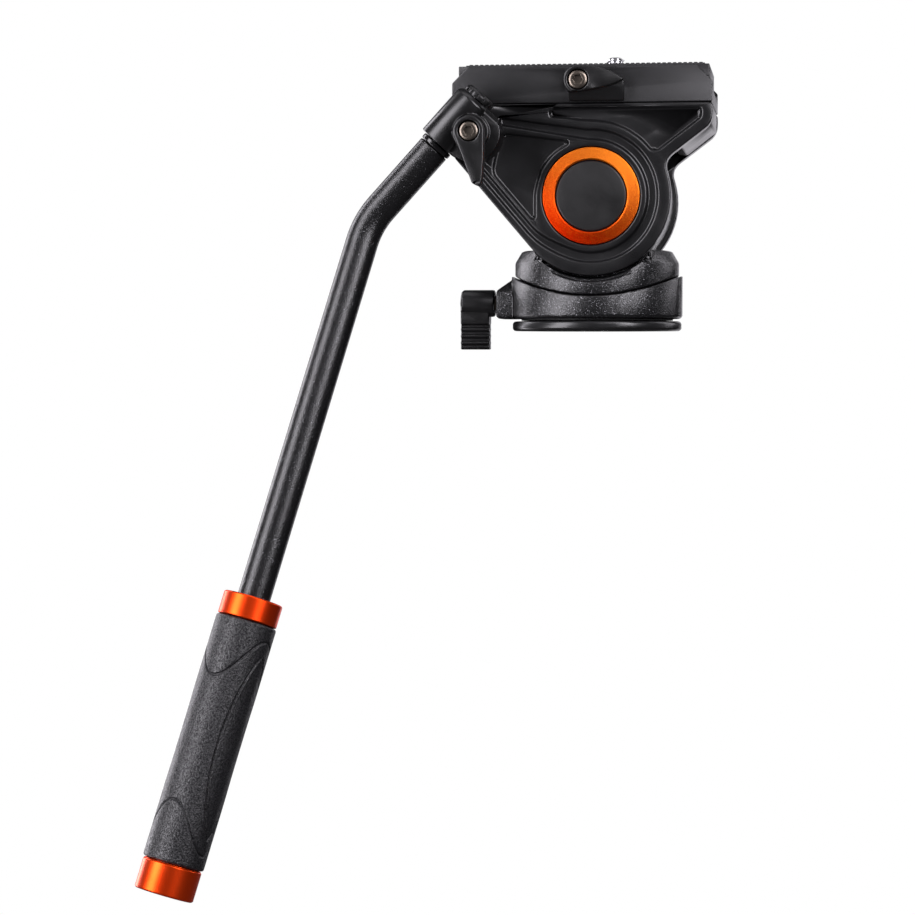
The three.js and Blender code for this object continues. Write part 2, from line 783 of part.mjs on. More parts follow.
// The rear edge: its direction outward, and its length from where it leaves the round to the heel.
const rearWay = onRound(1, rearTangent(cheekRound, [-cheekRear, heelHeight]));
const rearLength = Math.sqrt(cheekRear ** 2 + heelHeight ** 2 - cheekRound ** 2);

// A point at a depth inside the rear edge and a distance along it.
function byRearEdge(depth, along) {
  const [nx, nz] = rearWay;
  const out = cheekRound - depth;
  return [nx * out + nz * along, nz * out - nx * along];
}

// Where the tangent of a circle about the tilt axis meets the line at a depth inside the rear edge.
function bendCorner(radius, angle, depth) {
  const [nx, nz] = rearWay;
  const [x, z] = onRound(radius, angle);
  const [dx, dz] = [Math.sin(angle), -Math.cos(angle)];
  const run = (cheekRound - depth - nx * x - nz * z) / (nx * dx + nz * dz);
  return [x + run * dx, z + run * dz];
}

// The channel that comes in from the rear, runs round the ring and goes up along the rear edge.
function channel() {
  const half = (channelOuter - channelInner) / 2;
  const turn = quarterTurn + half / channelOuter;
  const [bendEnd, end] = [2 * reliefCorner, rearLength - heelFillet];
  const inside = channelRim + channelWidth;
  const shape = new THREE.Shape();
  shape.moveTo(-channelRear, channelRearHigh);
  addArc(shape, [0, 0], channelOuter, turn, channelBend);
  const outerCorner = bendCorner(channelOuter, channelBend, channelRim);
  shape.quadraticCurveTo(...outerCorner, ...byRearEdge(channelRim, bendEnd));
  shape.lineTo(...byRearEdge(channelRim, end));
  shape.lineTo(...byRearEdge(inside, end));
  shape.lineTo(...byRearEdge(inside, bendEnd));
  const innerCorner = bendCorner(channelInner, channelBend, inside);
  shape.quadraticCurveTo(...innerCorner, ...onRound(channelInner, channelBend));
  addArc(shape, [0, 0], channelInner, channelBend, turn);
  shape.lineTo(-channelRear, channelRearLow);
  return shape;
}

// The pocket behind the ring.
function rearPocket() {
  const edge = cheekRound - rearPocketMargin;
  const [nx, nz] = rearWay;
  const onEdge = (x) => [x, (edge - nx * x) / nz];
  const low = onEdge(-rearPocketFront);
  const back = onEdge(-cheekRear + heelHeight);
  const top = [-channelRear, rearPocketHigh];
  const nose = [-rearPocketNose, rearPocketLow];
  const shape = new THREE.Shape();
  shape.moveTo(-rearPocketFront, 0);
  roundCorner(shape, [-rearPocketFront, 0], low, back, rearPocketCorner);
  roundCorner(shape, low, back, top, heelFillet);
  roundCorner(shape, back, top, nose, heelFillet);
  shape.lineTo(...towards(nose, top, heelFillet));
  const onRing = onRound(channelInner, rearPocketArc[0]);
  shape.quadraticCurveTo(-rearPocketNose + heelFillet, rearPocketLow, ...onRing);
  addArc(shape, [0, 0], channelInner, ...rearPocketArc);
  shape.quadraticCurveTo(-rearPocketFront, reliefCorner, -rearPocketFront, 0);
  return shape;
}

// Places of the two tie studs between the cheeks.
const tieFront = [cheekFront - bridgeFrontWall / 2, cheekTop - bridgeThickness - 2 * tieRadius];
const tieRear = [-(cheekRear - bridgeRearWall + tieRadius / 2), cheekTop - bridgeThickness - tieRadius];
const tiltLockPlace = onRound(tiltLockRadius, tiltLockAngle);

function cheek(side) {
  const outline = cheekOutline();
  const round = (radius, inner, outer, steps, [x, z] = [0, 0]) =>
    rod(radius, ...ends(side, inner, outer), steps, alongY, [x, 0, z]);
  const [inside, outside] = [cheekInner - overrun, cheekOuter + overrun];
  const studHole = side < 0
    ? round(clampRodRadius + gap, inside, outside, smallSteps, [pivotX, pivotZ])
    : round(lockStudRadius + gap, inside, outside, smallSteps, tiltLockPlace);
  const tieDepth = cheekInner + tieEnd + gap;
  return sidePlate(side, outline, cheekInner, cheekOuter - cheekFlange / 2)
    .subtract(sidePlate(side, rearStrip(), inside, outside))
    .add(sidePlate(side, outline, cheekOuter - cheekFlange, cheekOuter))
    .subtract(pocketCutter(side, frontPocket()))
    .subtract(pocketCutter(side, channel()))
    .subtract(pocketCutter(side, rearPocket()))
    .subtract(round(ringOuter + gap, ringFloor, outside, largeSteps))
    .subtract(round(axleNutRadius + gap, nutFloor, outside, smallSteps))
    .subtract(round(axleThreadRadius + gap, inside, outside, smallSteps))
    .subtract(round(tieRadius + gap, inside, tieDepth, tinySteps, tieFront))
    .subtract(round(tieRadius + gap, inside, tieDepth, tinySteps, tieRear))
    .subtract(studHole);
}

function tieStud([x, z]) {
  const end = cheekInner + tieEnd;
  return rod(tieRadius, -end, end, tinySteps, alongY, [x, 0, z]);
}

// The bridge: a platform with a thick front wall and a short rear wall.
function bridge() {
  const half = cheekInner - gap;
  const under = cheekTop - bridgeThickness;
  const { corner, way } = chinMeets(cheekRound);
  const front = corner[0] - gap;
  const chinFoot = [corner[0] + way[0] * bridgeFrontWall - gap, corner[1] + way[1] * bridgeFrontWall];
  const rear = -cheekRear + gap;
  const lip = cheekTop - bridgeRearDepth;
  const outline = polygon([
    [rear, cheekTop], [rear, lip], [rear + bridgeRearWall, lip],
    [rear + bridgeRearWall, under], [chinFoot[0] - bridgeThickness, under],
    [chinFoot[0] - bridgeThickness, chinFoot[1]], chinFoot,
    [front - edgeRound, corner[1] - edgeRound / 2], [front, corner[1] + edgeRound], [front, cheekTop],
  ]);
  let body = plate(outline, -half, half);
  for (const [x, z] of [tieFront, tieRear]) {
    body = body.subtract(rod(tieRadius + gap, -cheekOuter, cheekOuter, tinySteps, alongY, [x, 0, z]));
  }
  const depth = receiverScrewLength - receiverFloor + receiverScrewHeadHeight;
  const [low, high] = [cheekTop - depth, cheekTop + overrun];
  for (const [x, y] of receiverScrewPlaces) {
    body = body.subtract(rod(receiverScrewRadius + gap, low, high, tinySteps, alongZ, [x, y, 0]));
  }
  return body;
}

// Receiver, placed from its own underside over the tilt axis

const receiverScrewPlaces = [[1, 1], [1, -1], [-1, 1], [-1, -1]].map(([x, y]) => [
  x > 0 ? tieFront[0] - bridgeFrontWall / 4 : -(cheekRear - 2 * bridgeRearWall), y * receiverScrewSpread,
]);

// The dovetail channel, grown outward by a fit, from its floor up to a height.
function channelSection(fit, floor, top) {
  const foot = receiverFloor + railFootHeight;
  const [wide, narrow] = [railFoot + fit, railMouth + fit];
  return polygon([
    [-wide, floor], [wide, floor], [wide, foot], [narrow, foot + railSlopeHeight], [narrow, top],
    [-narrow, top], [-narrow, foot + railSlopeHeight], [-wide, foot],
  ]);
}

function receiver() {
  const [rear, front] = [-receiverRear, receiverFront];
  const side = polygon([
    [rear, 0], [front, 0], [front, receiverHeight - receiverCorner],
    [front - receiverCorner, receiverHeight], [rear + receiverCorner, receiverHeight],
    [rear, receiverHeight - receiverCorner],
  ]);
  let body = plate(side, -receiverHalfWidth, receiverHalfWidth);
  const cut = channelSection(0, receiverFloor, receiverHeight + overrun);
  body = body.subtract(bar(cut, rear - overrun, front + overrun)).subtract(jawPocket());
  const at = [plateLockPlace, 0, plateLockHeight];
  body = body.subtract(rod(lockStudRadius + gap, -2 * cheekOuter, -railFoot, smallSteps, alongY, at));
  for (const [x, y] of receiverScrewPlaces) body = body.subtract(screwSpace(x, y));
  return body;
}

// The countersunk hole for a receiver screw.
function screwSpace(x, y) {
  const [head, low] = [receiverFloor - receiverScrewHeadHeight - gap, -overrun];
  const [shank, wide] = [receiverScrewRadius + gap, receiverScrewHead + gap];
  return turned([
    [0, low], [shank, low], [shank, head], [wide, receiverFloor - gap],
    [wide, receiverFloor + overrun], [0, receiverFloor + overrun],
  ], tinySteps, alongZ, [x, y, 0]);
}

function receiverScrew([x, y]) {
  const top = receiverFloor - gap;
  const head = top - receiverScrewHeadHeight;
  return turned([
    [0, top - receiverScrewLength], [receiverScrewRadius, top - receiverScrewLength],
    [receiverScrewRadius, head], [receiverScrewHead, top], [0, top],
  ], tinySteps, alongZ, [x, y, 0]);
}

// Plate, pad and camera screw, in the receiver's frame

const plateBottom = receiverFloor + gap;
const plateTop = receiverHeight + plateProud;

function slotOutline(half) {
  const shape = new THREE.Shape();
  shape.moveTo(-slotRear, -half);
  addArc(shape, [slotFront, 0], half, -quarterTurn, quarterTurn);
  addArc(shape, [-slotRear, 0], half, quarterTurn, 3 * quarterTurn);
  return shape;
}

// A straight-walled cutter that follows the camera screw's slot.
function slotCutter(half, low, high) {
  const options = { depth: high - low, bevelEnabled: false, curveSegments: curveSteps, steps: 1 };
  return solid(new THREE.ExtrudeGeometry(slotOutline(half), options).translate(0, 0, low));
}

const sliderLow = plateBottom + gap + cameraScrewHeadHeight + gap;
const slotCeiling = sliderLow + sliderThickness + gap;

function quickPlate() {
  const section = channelSection(-gap, plateBottom, plateTop);
  const padHalf = railMouth - gap - padSideMargin;
  return bar(section, -plateRear, plateFront)
    .subtract(slotCutter(cameraScrewHeadRadius + gap, plateBottom - overrun, slotCeiling))
    .subtract(slotCutter(cameraScrewRadius + gap, plateBottom - overrun, plateTop + overrun))
    .subtract(block(
      [-(plateRear - padRearMargin), -padHalf, plateTop - padRecess],
      [plateFront - padFrontMargin, padHalf, plateTop + overrun],
    ));
}

// The pad: a slab with ribs across it, cut open over the camera screw's slot.
function platePad() {
  const [rear, front] = [-(plateRear - padRearMargin - gap), plateFront - padFrontMargin - gap];
  const low = plateTop - padRecess + gap;
  const valley = low + padBody;
  const crest = valley + padRibHeight;
  const points = [[rear, low], [front, low], [front, valley]];
  const count = Math.floor((front - rear) / padRibPitch);
  const start = front - (front - rear - count * padRibPitch) / 2;
  for (let i = 0; i < count; i += 1) {
    const at = start - i * padRibPitch;
    const rib = padRibPitch * padRibShare;
    const flank = padRibHeight / 2;
    points.push([at - flank / 2, valley], [at - flank, crest]);
    points.push([at - rib, crest], [at - rib - flank / 2, valley]);
  }
  points.push([rear, valley]);
  const half = railMouth - 2 * gap - padSideMargin;
  const slot = slotCutter(cameraScrewRadius + 2 * gap, low - overrun, crest + overrun);
  return plate(polygon(points), -half, half).subtract(slot);
}

function cameraScrew() {
  const head = plateBottom + gap;
  const shank = head + cameraScrewHeadHeight;
  const tip = cameraScrewTop - cameraScrewTip;
  const body = turned([
    [0, head], [cameraScrewHeadRadius, head], [cameraScrewHeadRadius, shank], [cameraScrewRadius, shank],
    [cameraScrewRadius, tip], [cameraScrewRadius - cameraScrewTip, cameraScrewTop], [0, cameraScrewTop],
  ], smallSteps, alongZ, [cameraScrewPlace, 0, 0]);
  const half = cameraScrewSlot / 2;
  return body.subtract(block(
    [cameraScrewPlace - 2 * cameraScrewHeadRadius, -half, head - overrun],
    [cameraScrewPlace + 2 * cameraScrewHeadRadius, half, head + cameraScrewHeadHeight / 2],
  ));
}

function screwSlider() {
  const high = sliderLow + sliderThickness;
  const at = [cameraScrewPlace, 0, 0];
  return tube(cameraScrewRadius + gap, sliderRadius, sliderLow, high, smallSteps, alongZ, at);
}

// Locking levers, each modelled about its own pivot with its face towards -Y

const boltFace = (thickness) => -(thickness - leverSink);

// The bored holes of a lever: for the stud behind, the screw in the middle and its head in front.
function leverBores(thickness, studRadius) {
  const seat = boltFace(thickness) + boltHeadHeight + gap;
  const web = seat + boltHeadHeight;
  return turned([
    [0, -thickness - overrun], [boltHeadRadius + gap, -thickness - overrun], [boltHeadRadius + gap, seat],
    [boltRadius + gap, seat], [boltRadius + gap, web], [studRadius + gap, web],
    [studRadius + gap, overrun], [0, overrun],
  ], smallSteps, alongY);
}

function leverBolt(thickness) {
  const face = boltFace(thickness);
  const under = face + boltHeadHeight;
  const body = turned([
    [0, face], [boltHeadRadius, face], [boltHeadRadius, under], [boltRadius, under],
    [boltRadius, under + boltLength], [0, under + boltLength],
  ], smallSteps, alongY);
  return body.subtract(hexagon(boltSocketRadius, face - overrun, face + boltSocketDepth));
}

// The stud that the lever turns, from inside the lever to a given distance behind it.
function leverStud(thickness, studRadius, reach) {
  const front = boltFace(thickness) + 2 * (boltHeadHeight + gap) + gap;
  const boreEnd = boltFace(thickness) + boltHeadHeight + boltLength + gap;
  return turned([
    [boltRadius + gap, front], [studRadius, front], [studRadius, reach], [0, reach],
    [0, boreEnd], [boltRadius + gap, boreEnd],
  ], smallSteps, alongY);
}

// The handle clamp's stud: wide in the lever and the boss, slim from there to the inside of the cheek.
function clampStud() {
  const shoulder = clampFace + gap - blockFront + clampStudSink;
  const wide = leverStud(leverThickness, clampStudRadius, shoulder);
  return wide.add(rod(clampRodRadius, shoulder - gap, clampFace + gap - cheekInner, smallSteps, alongY));
}

// A drop shape that hangs down from its pivot and leans to one side.
function dropOutline() {
  const tip = [leverHead - leverTip, -(leverReach - leverTip)];
  const leave = Math.PI + leverTip / leverHead / 2;
  const shape = new THREE.Shape();
  shape.moveTo(leverHead, 0);
  addArc(shape, [0, 0], leverHead, 0, leave);
  shape.lineTo(tip[0] - leverTip, tip[1] - leverTip / 3);
  shape.quadraticCurveTo(tip[0], -leverReach, tip[0] + leverTip / 2, -leverReach + leverTip / 3);
  shape.quadraticCurveTo(leverHead - leverTip / 4, tip[1], leverHead, tip[1] / 2);
  return shape;
}

const dropLever = (studRadius) =>
  plate(dropOutline(), -leverThickness, 0).subtract(leverBores(leverThickness, studRadius));

// The leaf of the plate lock's lever: a drop that points forward.
function leafOutline() {
  const meet = -4 * quarterTurn / 3;
  const [x, z] = onRound(plateLeverHead, meet);
  const [bellyX, backX] = [plateLeverBellyShare, plateLeverBackShare].map((share) => plateLeverReach * share);
  const shape = new THREE.Shape();
  shape.moveTo(plateLeverReach, 0);
  shape.quadraticCurveTo(bellyX, -plateLeverBelly, x, z);
  addArc(shape, [0, 0], plateLeverHead, meet, quarterTurn - fullTurn);
  shape.quadraticCurveTo(backX, plateLeverHead, plateLeverReach, 0);
  return shape;
}

// The plate lock's lever: a leaf over a skirt that slopes inward.
function plateLever() {
  const [rear, low, side] = [-plateLeverSkirtRear, -plateLeverSkirt, -plateLeverSkirtFace];
  const section = polygon([
    [0, 0], [side, 0], [side, -plateLeverHead / 2], [-plateLeverSkirtFoot, low], [0, low],
  ]);
  const under = polygon([
    [rear, -plateLeverHead / 2], [plateLeverReach, 0], [plateLeverReach, low], [rear, low],
  ]);
  const skirt = bar(section, rear, plateLeverReach).intersect(plate(under, side, 0));
  return plate(leafOutline(), -plateLeverThickness, 0)
    .add(skirt)
    .subtract(leverBores(plateLeverThickness, lockStudRadius));
}

// The jaw that the plate lock presses on the plate, and its pocket in the receiver, in the receiver's frame

const jawBack = receiverHalfWidth - jawWall;
const jawLow = receiverFloor + gap;

function jawPocket() {
  const half = jawLength / 2 + gap;
  return block(
    [plateLockPlace - half, -jawBack, receiverFloor],
    [plateLockPlace + half, 0, jawLow + jawHeight + gap],
  );
}

function clampJaw() {
  const foot = receiverFloor + railFootHeight;
  const top = jawLow + jawHeight;
  const back = jawBack - jawTravel - gap;
  const lean = railFoot - (railFoot - railMouth) * (top - foot) / railSlopeHeight;
  return bar(polygon([
    [-back, jawLow], [-railFoot, jawLow], [-railFoot, foot], [-lean, top], [-back, top],
  ]), plateLockPlace - jawLength / 2, plateLockPlace + jawLength / 2);
}

// Handle, modelled about its pivot with its sleeve along Z

const blockBack = cheekOuter + gap + rosetteThickness + gap;
const blockFront = blockBack + blockDepth;
const clampFace = blockFront + clampBossHeight;
const sleeveY = -(blockBack + sleeveRadius - gap);

function rosette() {
  const low = -(cheekOuter + gap + rosetteThickness);
  return tube(clampRodRadius + gap, rosetteRadius, low, -(cheekOuter + gap), middleSteps, alongY);
}

function handleBlock() {
  const at = [-sleeveOffset, sleeveY, 0];
  const rim = sleeveRadius - sleeveChamfer;
  const sleeve = turned([
    [0, -sleeveMouth], [sleeveRadius, -sleeveMouth], [sleeveRadius, sleeveTop - sleeveChamfer],
    [rim, sleeveTop], [0, sleeveTop],
  ], middleSteps, alongZ, at);
  const round = rod(blockRadius, -blockFront, -blockBack, middleSteps, alongY);
  const web = plate(polygon([
    [-sleeveOffset, -sleeveMouth], [0, -blockRadius], [0, sleeveTop], [-sleeveOffset, sleeveTop],
  ]), -blockFront, -blockBack);
  const top = bar(polygon([
    [0, sleeveTop], [sleeveChamfer - blockFront, sleeveTop], [-blockFront, sleeveTop - sleeveChamfer],
    [-2 * blockFront, sleeveTop - sleeveChamfer], [-2 * blockFront, 2 * blockRadius], [0, 2 * blockRadius],
  ]), -2 * blockRadius, 2 * blockRadius);
  const boss = rod(clampBossRadius, -clampFace, -blockBack, middleSteps, alongY);
  const seat = -(blockFront - clampStudSink - gap);
  return round.add(web).subtract(top).add(sleeve).add(boss)
    .subtract(rod(spigotRadius + gap, -2 * sleeveMouth, 2 * sleeveTop, smallSteps, alongZ, at))
    .subtract(rod(clampStudRadius + gap, -2 * blockFront, seat, smallSteps, alongY))
    .subtract(rod(clampRodRadius + gap, -2 * blockFront, 0, smallSteps, alongY));
}

// Pieces on the sleeve's axis, each modelled along Z through the origin

const tubeTop = -(sleeveMouth + neckLength);

function spigot() {
  const plug = tubeRadius - tubeWall - gap;
  const neckTop = -(sleeveMouth + gap);
  const threadTop = sleeveTop + endNutHeight - endNutCrown;
  return turned([
    [0, tubeTop - spigotPlug], [plug, tubeTop - spigotPlug], [plug, tubeTop], [neckRadius, tubeTop + gap],
    [neckRadius, neckTop], [spigotRadius, neckTop], [spigotRadius, sleeveTop - gap],
    [spigotThreadRadius, sleeveTop - gap], [spigotThreadRadius, threadTop], [0, threadTop],
  ], smallSteps);
}

function endNut() {
  const low = sleeveTop + gap;
  const high = low + endNutHeight;
  let body = turned([
    [spigotThreadRadius + gap, low], [endNutRadius, low], [endNutRadius, high - endNutCrown],
    [endNutRadius - endNutCrown, high], [0, high], [0, high - endNutCrown + gap],
    [spigotThreadRadius + gap, high - endNutCrown + gap],
  ], endNutNotches * 2);
  const notch = endNutNotchDepth;
  for (let i = 0; i < endNutNotches; i += 1) {
    const [x, y] = onRound(endNutRadius, (i + 1 / 2) * fullTurn / endNutNotches);
    body = body.subtract(rod(notch, low - overrun, high + overrun, 8, alongZ, [x, y, 0]));
  }
  return body;
}

const bendTangent = bendRadius * Math.tan(bendAngle / 2);
const bendStart = -(bendPlace - bendTangent);
const bendArc = bendRadius * bendAngle;
const bendSteps = 6;

// Bends a straight piece that lies along Z: beyond the start of the bend it curves towards +X.
function bent(geometry) {
  const places = geometry.getAttribute('position');
  const point = new THREE.Vector3();
  const centre = new THREE.Vector3(bendRadius, 0, bendStart);
  const axis = new THREE.Vector3(0, -1, 0);
  for (let i = 0; i < places.count; i += 1) {
    point.fromBufferAttribute(places, i);
    const past = bendStart - point.z;
    if (past <= 0) continue;
    const turn = Math.min(past, bendArc) / bendRadius;
    point.z = bendStart - Math.max(past - bendArc, 0);
    point.sub(centre).applyAxisAngle(axis, turn).add(centre);
    places.setXYZ(i, point.x, point.y, point.z);
  }
  return geometry;
}

function handleTube() {
  const end = bendStart - bendArc - (lowerLength - bendTangent);
  const inner = tubeRadius - tubeWall;
  const heights = [tubeTop];
  for (let i = 0; i <= bendSteps; i += 1) heights.push(bendStart - bendArc * i / bendSteps);
  heights.push(end);
  const section = [
    ...heights.map((h) => [inner, h]),
    ...heights.toReversed().map((h) => [tubeRadius, h]),
  ];
  const points = [...section, section[0]].map(([r, h]) => new THREE.Vector2(r, h));
  return solid(bent(alongZ(new THREE.LatheGeometry(points, smallSteps))));
}

// Pieces on the lower stretch of the tube, modelled along -Z from the corner of the bend

const onTube = tubeRadius + gap;
const capTop = lowerLength - tubeInCap;
const gripTop = capTop - gap - gripLength;
const ferrulePlace = gripTop - gap - ferruleLength;

const ferrule = () =>
  softTube(onTube, ferruleRadius, -(ferrulePlace + ferruleLength), -ferrulePlace, edgeRound / 2);
const grip = () => softTube(onTube, gripRadius, -(gripTop + gripLength), -gripTop, edgeRound);

function endCap() {
  const low = -(capTop + endCapLength);
  const seat = -(lowerLength + gap);
  return turned([
    [0, low], [endCapRadius - edgeRound, low], [endCapRadius - edgeRound / 3, low + edgeRound / 3],
    [endCapRadius, low + edgeRound], [endCapRadius, -capTop], [onTube, -capTop], [onTube, seat], [0, seat],
  ]);
}

// The assembly

const head = new THREE.Group();

function addBase() {
  addPiece(head, 'base_disc', baseDisc(), satinBlack);
  addPiece(head, 'tripod_thread_insert', threadInsert(), steel);
  addPiece(head, 'pan_spindle', panSpindle(), steel);
  addPiece(head, 'spindle_washer', spindleWasher(), steel);
  addPiece(head, 'spindle_nut', spindleNut(), steel);
  addPiece(head, 'pan_drag_plate', panDragPlate(), steel);
  addPiece(head, 'pan_thrust_washer', panThrustWasher(), acetal);
}

function addPan() {
  addPiece(head, 'pan_housing', panHousing(), sparkBlack);
  addPiece(head, 'pan_collar', panCollar(), sparkBlack);
  addPiece(head, 'pan_bush', panBush(), bronze);
  addPiece(head, 'pan_damping_ring', panDampingRing(), acetal);
  addPiece(head, 'pan_lock_knob', lockKnob(), blackPlastic);
  addPiece(head, 'pan_lock_screw', lockScrew(), darkSteel);
  addPiece(head, 'pan_brake_pad', panBrakePad(), acetal);
}

const sides = [[-1, 'right'], [1, 'left']];

function addTilt() {
  const tilt = new THREE.Group();
  tilt.position.z = tiltHeight;
  head.add(tilt);
  addPiece(tilt, 'tilt_axle', tiltAxle(), steel);
  for (const [side, name] of sides) {
    addPiece(tilt, `${name}_tilt_bush`, tiltBush(side), bronze);
    addPiece(tilt, `${name}_drag_disc`, tiltDragDisc(side), steel);
    addPiece(tilt, `${name}_friction_ring`, tiltFrictionRing(side), acetal);
    addPiece(tilt, `${name}_cheek`, cheek(side), satinBlack);
    addPiece(tilt, `${name}_axle_nut`, axleNut(side), steel);
    addPiece(tilt, `${name}_tilt_ring`, tiltRing(side), orange);
    addPiece(tilt, `${name}_centre_cap`, centreCap(side), blackPlastic);
  }
  addPiece(tilt, 'bridge', bridge(), satinBlack);
  addPiece(tilt, 'front_tie_stud', tieStud(tieFront), steel);
  addPiece(tilt, 'rear_tie_stud', tieStud(tieRear), steel);
  return tilt;
}

// A lever with its screw and stud, turned to face the given side.
function addLever(parent, name, at, side, lever, thickness, stud) {
  const group = new THREE.Group();
  group.position.set(...at);
  if (side > 0) group.rotation.z = Math.PI;
  parent.add(group);
  addPiece(group, `${name}_lever`, lever, blackPlastic);
  addPiece(group, `${name}_bolt`, leverBolt(thickness), darkSteel);
  addPiece(group, `${name}_stud`, stud, steel);
}

function addTiltLock(tilt) {
  const [x, z] = tiltLockPlace;
  const y = cheekOuter + ringProud + gap;
  const padOuter = drumHalfWidth + gap + tiltPadLength;
  const stud = leverStud(leverThickness, lockStudRadius, y - padOuter - gap);
  addLever(tilt, 'tilt_lock', [x, y, z], 1, dropLever(lockStudRadius), leverThickness, stud);
  const pad = rod(tiltPadRadius, drumHalfWidth + gap, padOuter, smallSteps, alongY, [x, 0, z]);
  addPiece(tilt, 'tilt_brake_pad', pad, acetal);
}

function addReceiver(tilt) {
  const seat = new THREE.Group();
  seat.position.z = cheekTop + gap;
  tilt.add(seat);
  addPiece(seat, 'plate_receiver', receiver(), satinBlack);
  receiverScrewPlaces.forEach((place, i) =>
    addPiece(seat, `receiver_screw_${i + 1}`, receiverScrew(place), darkSteel));
  addPiece(seat, 'quick_release_plate', quickPlate(), satinBlack);
  addPiece(seat, 'plate_pad', platePad(), rubber);
  addPiece(seat, 'camera_screw', cameraScrew(), steel);
  addPiece(seat, 'screw_slider', screwSlider(), acetal);
  addPiece(seat, 'plate_clamp_jaw', clampJaw(), satinBlack);
  const at = [plateLockPlace, -(receiverHalfWidth + gap), plateLockHeight];
  const stud = leverStud(plateLeverThickness, lockStudRadius, receiverHalfWidth + gap - jawBack + jawTravel);
  addLever(seat, 'plate_lock', at, -1, plateLever(), plateLeverThickness, stud);
}

function addHandle(tilt) {
  const pivot = new THREE.Group();
  pivot.position.set(pivotX, 0, pivotZ);
  tilt.add(pivot);
  addPiece(pivot, 'handle_rosette', rosette(), satinBlack);
  const at = [0, -(clampFace + gap), 0];
  addLever(pivot, 'handle_clamp', at, -1, dropLever(clampStudRadius), leverThickness, clampStud());
  const arm = new THREE.Group();
  arm.rotation.y = handleAngle;
  pivot.add(arm);
  addPiece(arm, 'handle_block', handleBlock(), satinBlack);
  const onAxis = new THREE.Group();
  onAxis.position.set(-sleeveOffset, sleeveY, 0);
  onAxis.rotation.z = -tubeTwist;
  arm.add(onAxis);
  addPiece(onAxis, 'handle_end_nut', endNut(), blackPlastic);
  addPiece(onAxis, 'tube_spigot', spigot(), steel);
  addPiece(onAxis, 'handle_tube', handleTube(), sparkBlack);
  const lower = new THREE.Group();
  lower.position.z = -bendPlace;
  lower.rotation.y = -bendAngle;
  onAxis.add(lower);
  addPiece(lower, 'grip_ferrule', ferrule(), orange);
  addPiece(lower, 'handle_grip', grip(), rubber);
  addPiece(lower, 'handle_end_cap', endCap(), orange);
}

addBase();
addPan();
const tilt = addTilt();
addTiltLock(tilt);
addReceiver(tilt);
addHandle(tilt);

export default head;
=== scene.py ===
import json
import math

import bmesh
import bpy
from mathutils import Matrix, Vector


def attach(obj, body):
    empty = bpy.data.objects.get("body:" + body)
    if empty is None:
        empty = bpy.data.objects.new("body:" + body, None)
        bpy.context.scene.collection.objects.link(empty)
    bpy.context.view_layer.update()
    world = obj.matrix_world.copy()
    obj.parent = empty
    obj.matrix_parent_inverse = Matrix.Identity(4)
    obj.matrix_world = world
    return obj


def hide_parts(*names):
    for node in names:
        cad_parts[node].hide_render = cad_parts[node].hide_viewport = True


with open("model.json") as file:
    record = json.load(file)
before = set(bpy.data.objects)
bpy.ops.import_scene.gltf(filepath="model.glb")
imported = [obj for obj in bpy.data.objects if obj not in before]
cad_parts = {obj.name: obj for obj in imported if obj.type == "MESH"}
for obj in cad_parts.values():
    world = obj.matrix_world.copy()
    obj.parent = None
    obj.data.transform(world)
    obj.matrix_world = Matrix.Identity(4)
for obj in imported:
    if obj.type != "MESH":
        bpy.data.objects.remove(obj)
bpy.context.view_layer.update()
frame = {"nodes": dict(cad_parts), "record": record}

MM = 0.001
FULL = 2 * math.pi

record = frame["record"]
BODY = {node: body for body, nodes in record["behaviour"]["bodies"].items() for node in nodes}
SLOT = {part["node"]: part["material_slot"] for part in record["subparts"]}
JOINT = {joint["name"]: joint for joint in record["behaviour"]["joints"]}


def joint_place(name):
    """Where a joint sits, in millimetres."""
    return Vector(JOINT[name]["pos_m"]) / MM


# Sizes of the head in millimetres; its places come from the joints.
FIT = 0.3
TILT_CENTRE = joint_place("tilt")
CHEEK_OUTER = 28.0
CHEEK_RISE = 31.8
CHEEK_TOP = TILT_CENTRE.z + CHEEK_RISE
RING_PROUD = 0.5
RING_OUTER, RING_INNER, RING_THICKNESS = 16.85, 12.43, 1.1
RING_SLOPE = 0.5  # how far the ring's face falls towards its outer edge
LEVER_FACE, PLATE_LEVER_FACE = 5.3, 5.7
SLEEVE_MOUTH, SLEEVE_TOP = 10.4, 9.4
NECK_RADIUS, NECK_LENGTH = 5.8, 2.4
TUBE_TOP = -(SLEEVE_MOUTH + NECK_LENGTH)
TUBE_RADIUS, TUBE_WALL = 5.65, 1.2
BEND_PLACE, BEND_RADIUS = 47.1, 27.0
BEND_ANGLE = math.radians(29.4)
TUBE_TWIST = math.radians(25)
TUBE_LENGTH = 232.0

# Along the straight of the tube, measured from the middle of its bend
FERRULE_START, FERRULE_LENGTH, FERRULE_RADIUS = 135.6, 7.9, 10.25
GRIP_LENGTH, GRIP_RADIUS = 84.4, 10.5
END_CAP_LENGTH, END_CAP_RADIUS = 10.55, 10.12
FERRULE_END = FERRULE_START + FERRULE_LENGTH
GRIP_START = FERRULE_END + FIT
GRIP_FINISH = GRIP_START + GRIP_LENGTH
END_CAP_START = GRIP_FINISH + FIT
END_CAP_FINISH = END_CAP_START + END_CAP_LENGTH
TUBE_HOLE = TUBE_RADIUS + FIT  # radius of what is pushed over the tube

# Steps round each turned piece, and along the tube's bend
RING_STEPS, CAP_STEPS, NECK_STEPS, TUBE_STEPS, BEND_STEPS = 128, 96, 64, 48, 14
BOLT_STEPS, SCREW_STEPS = 72, 48


# Finishes

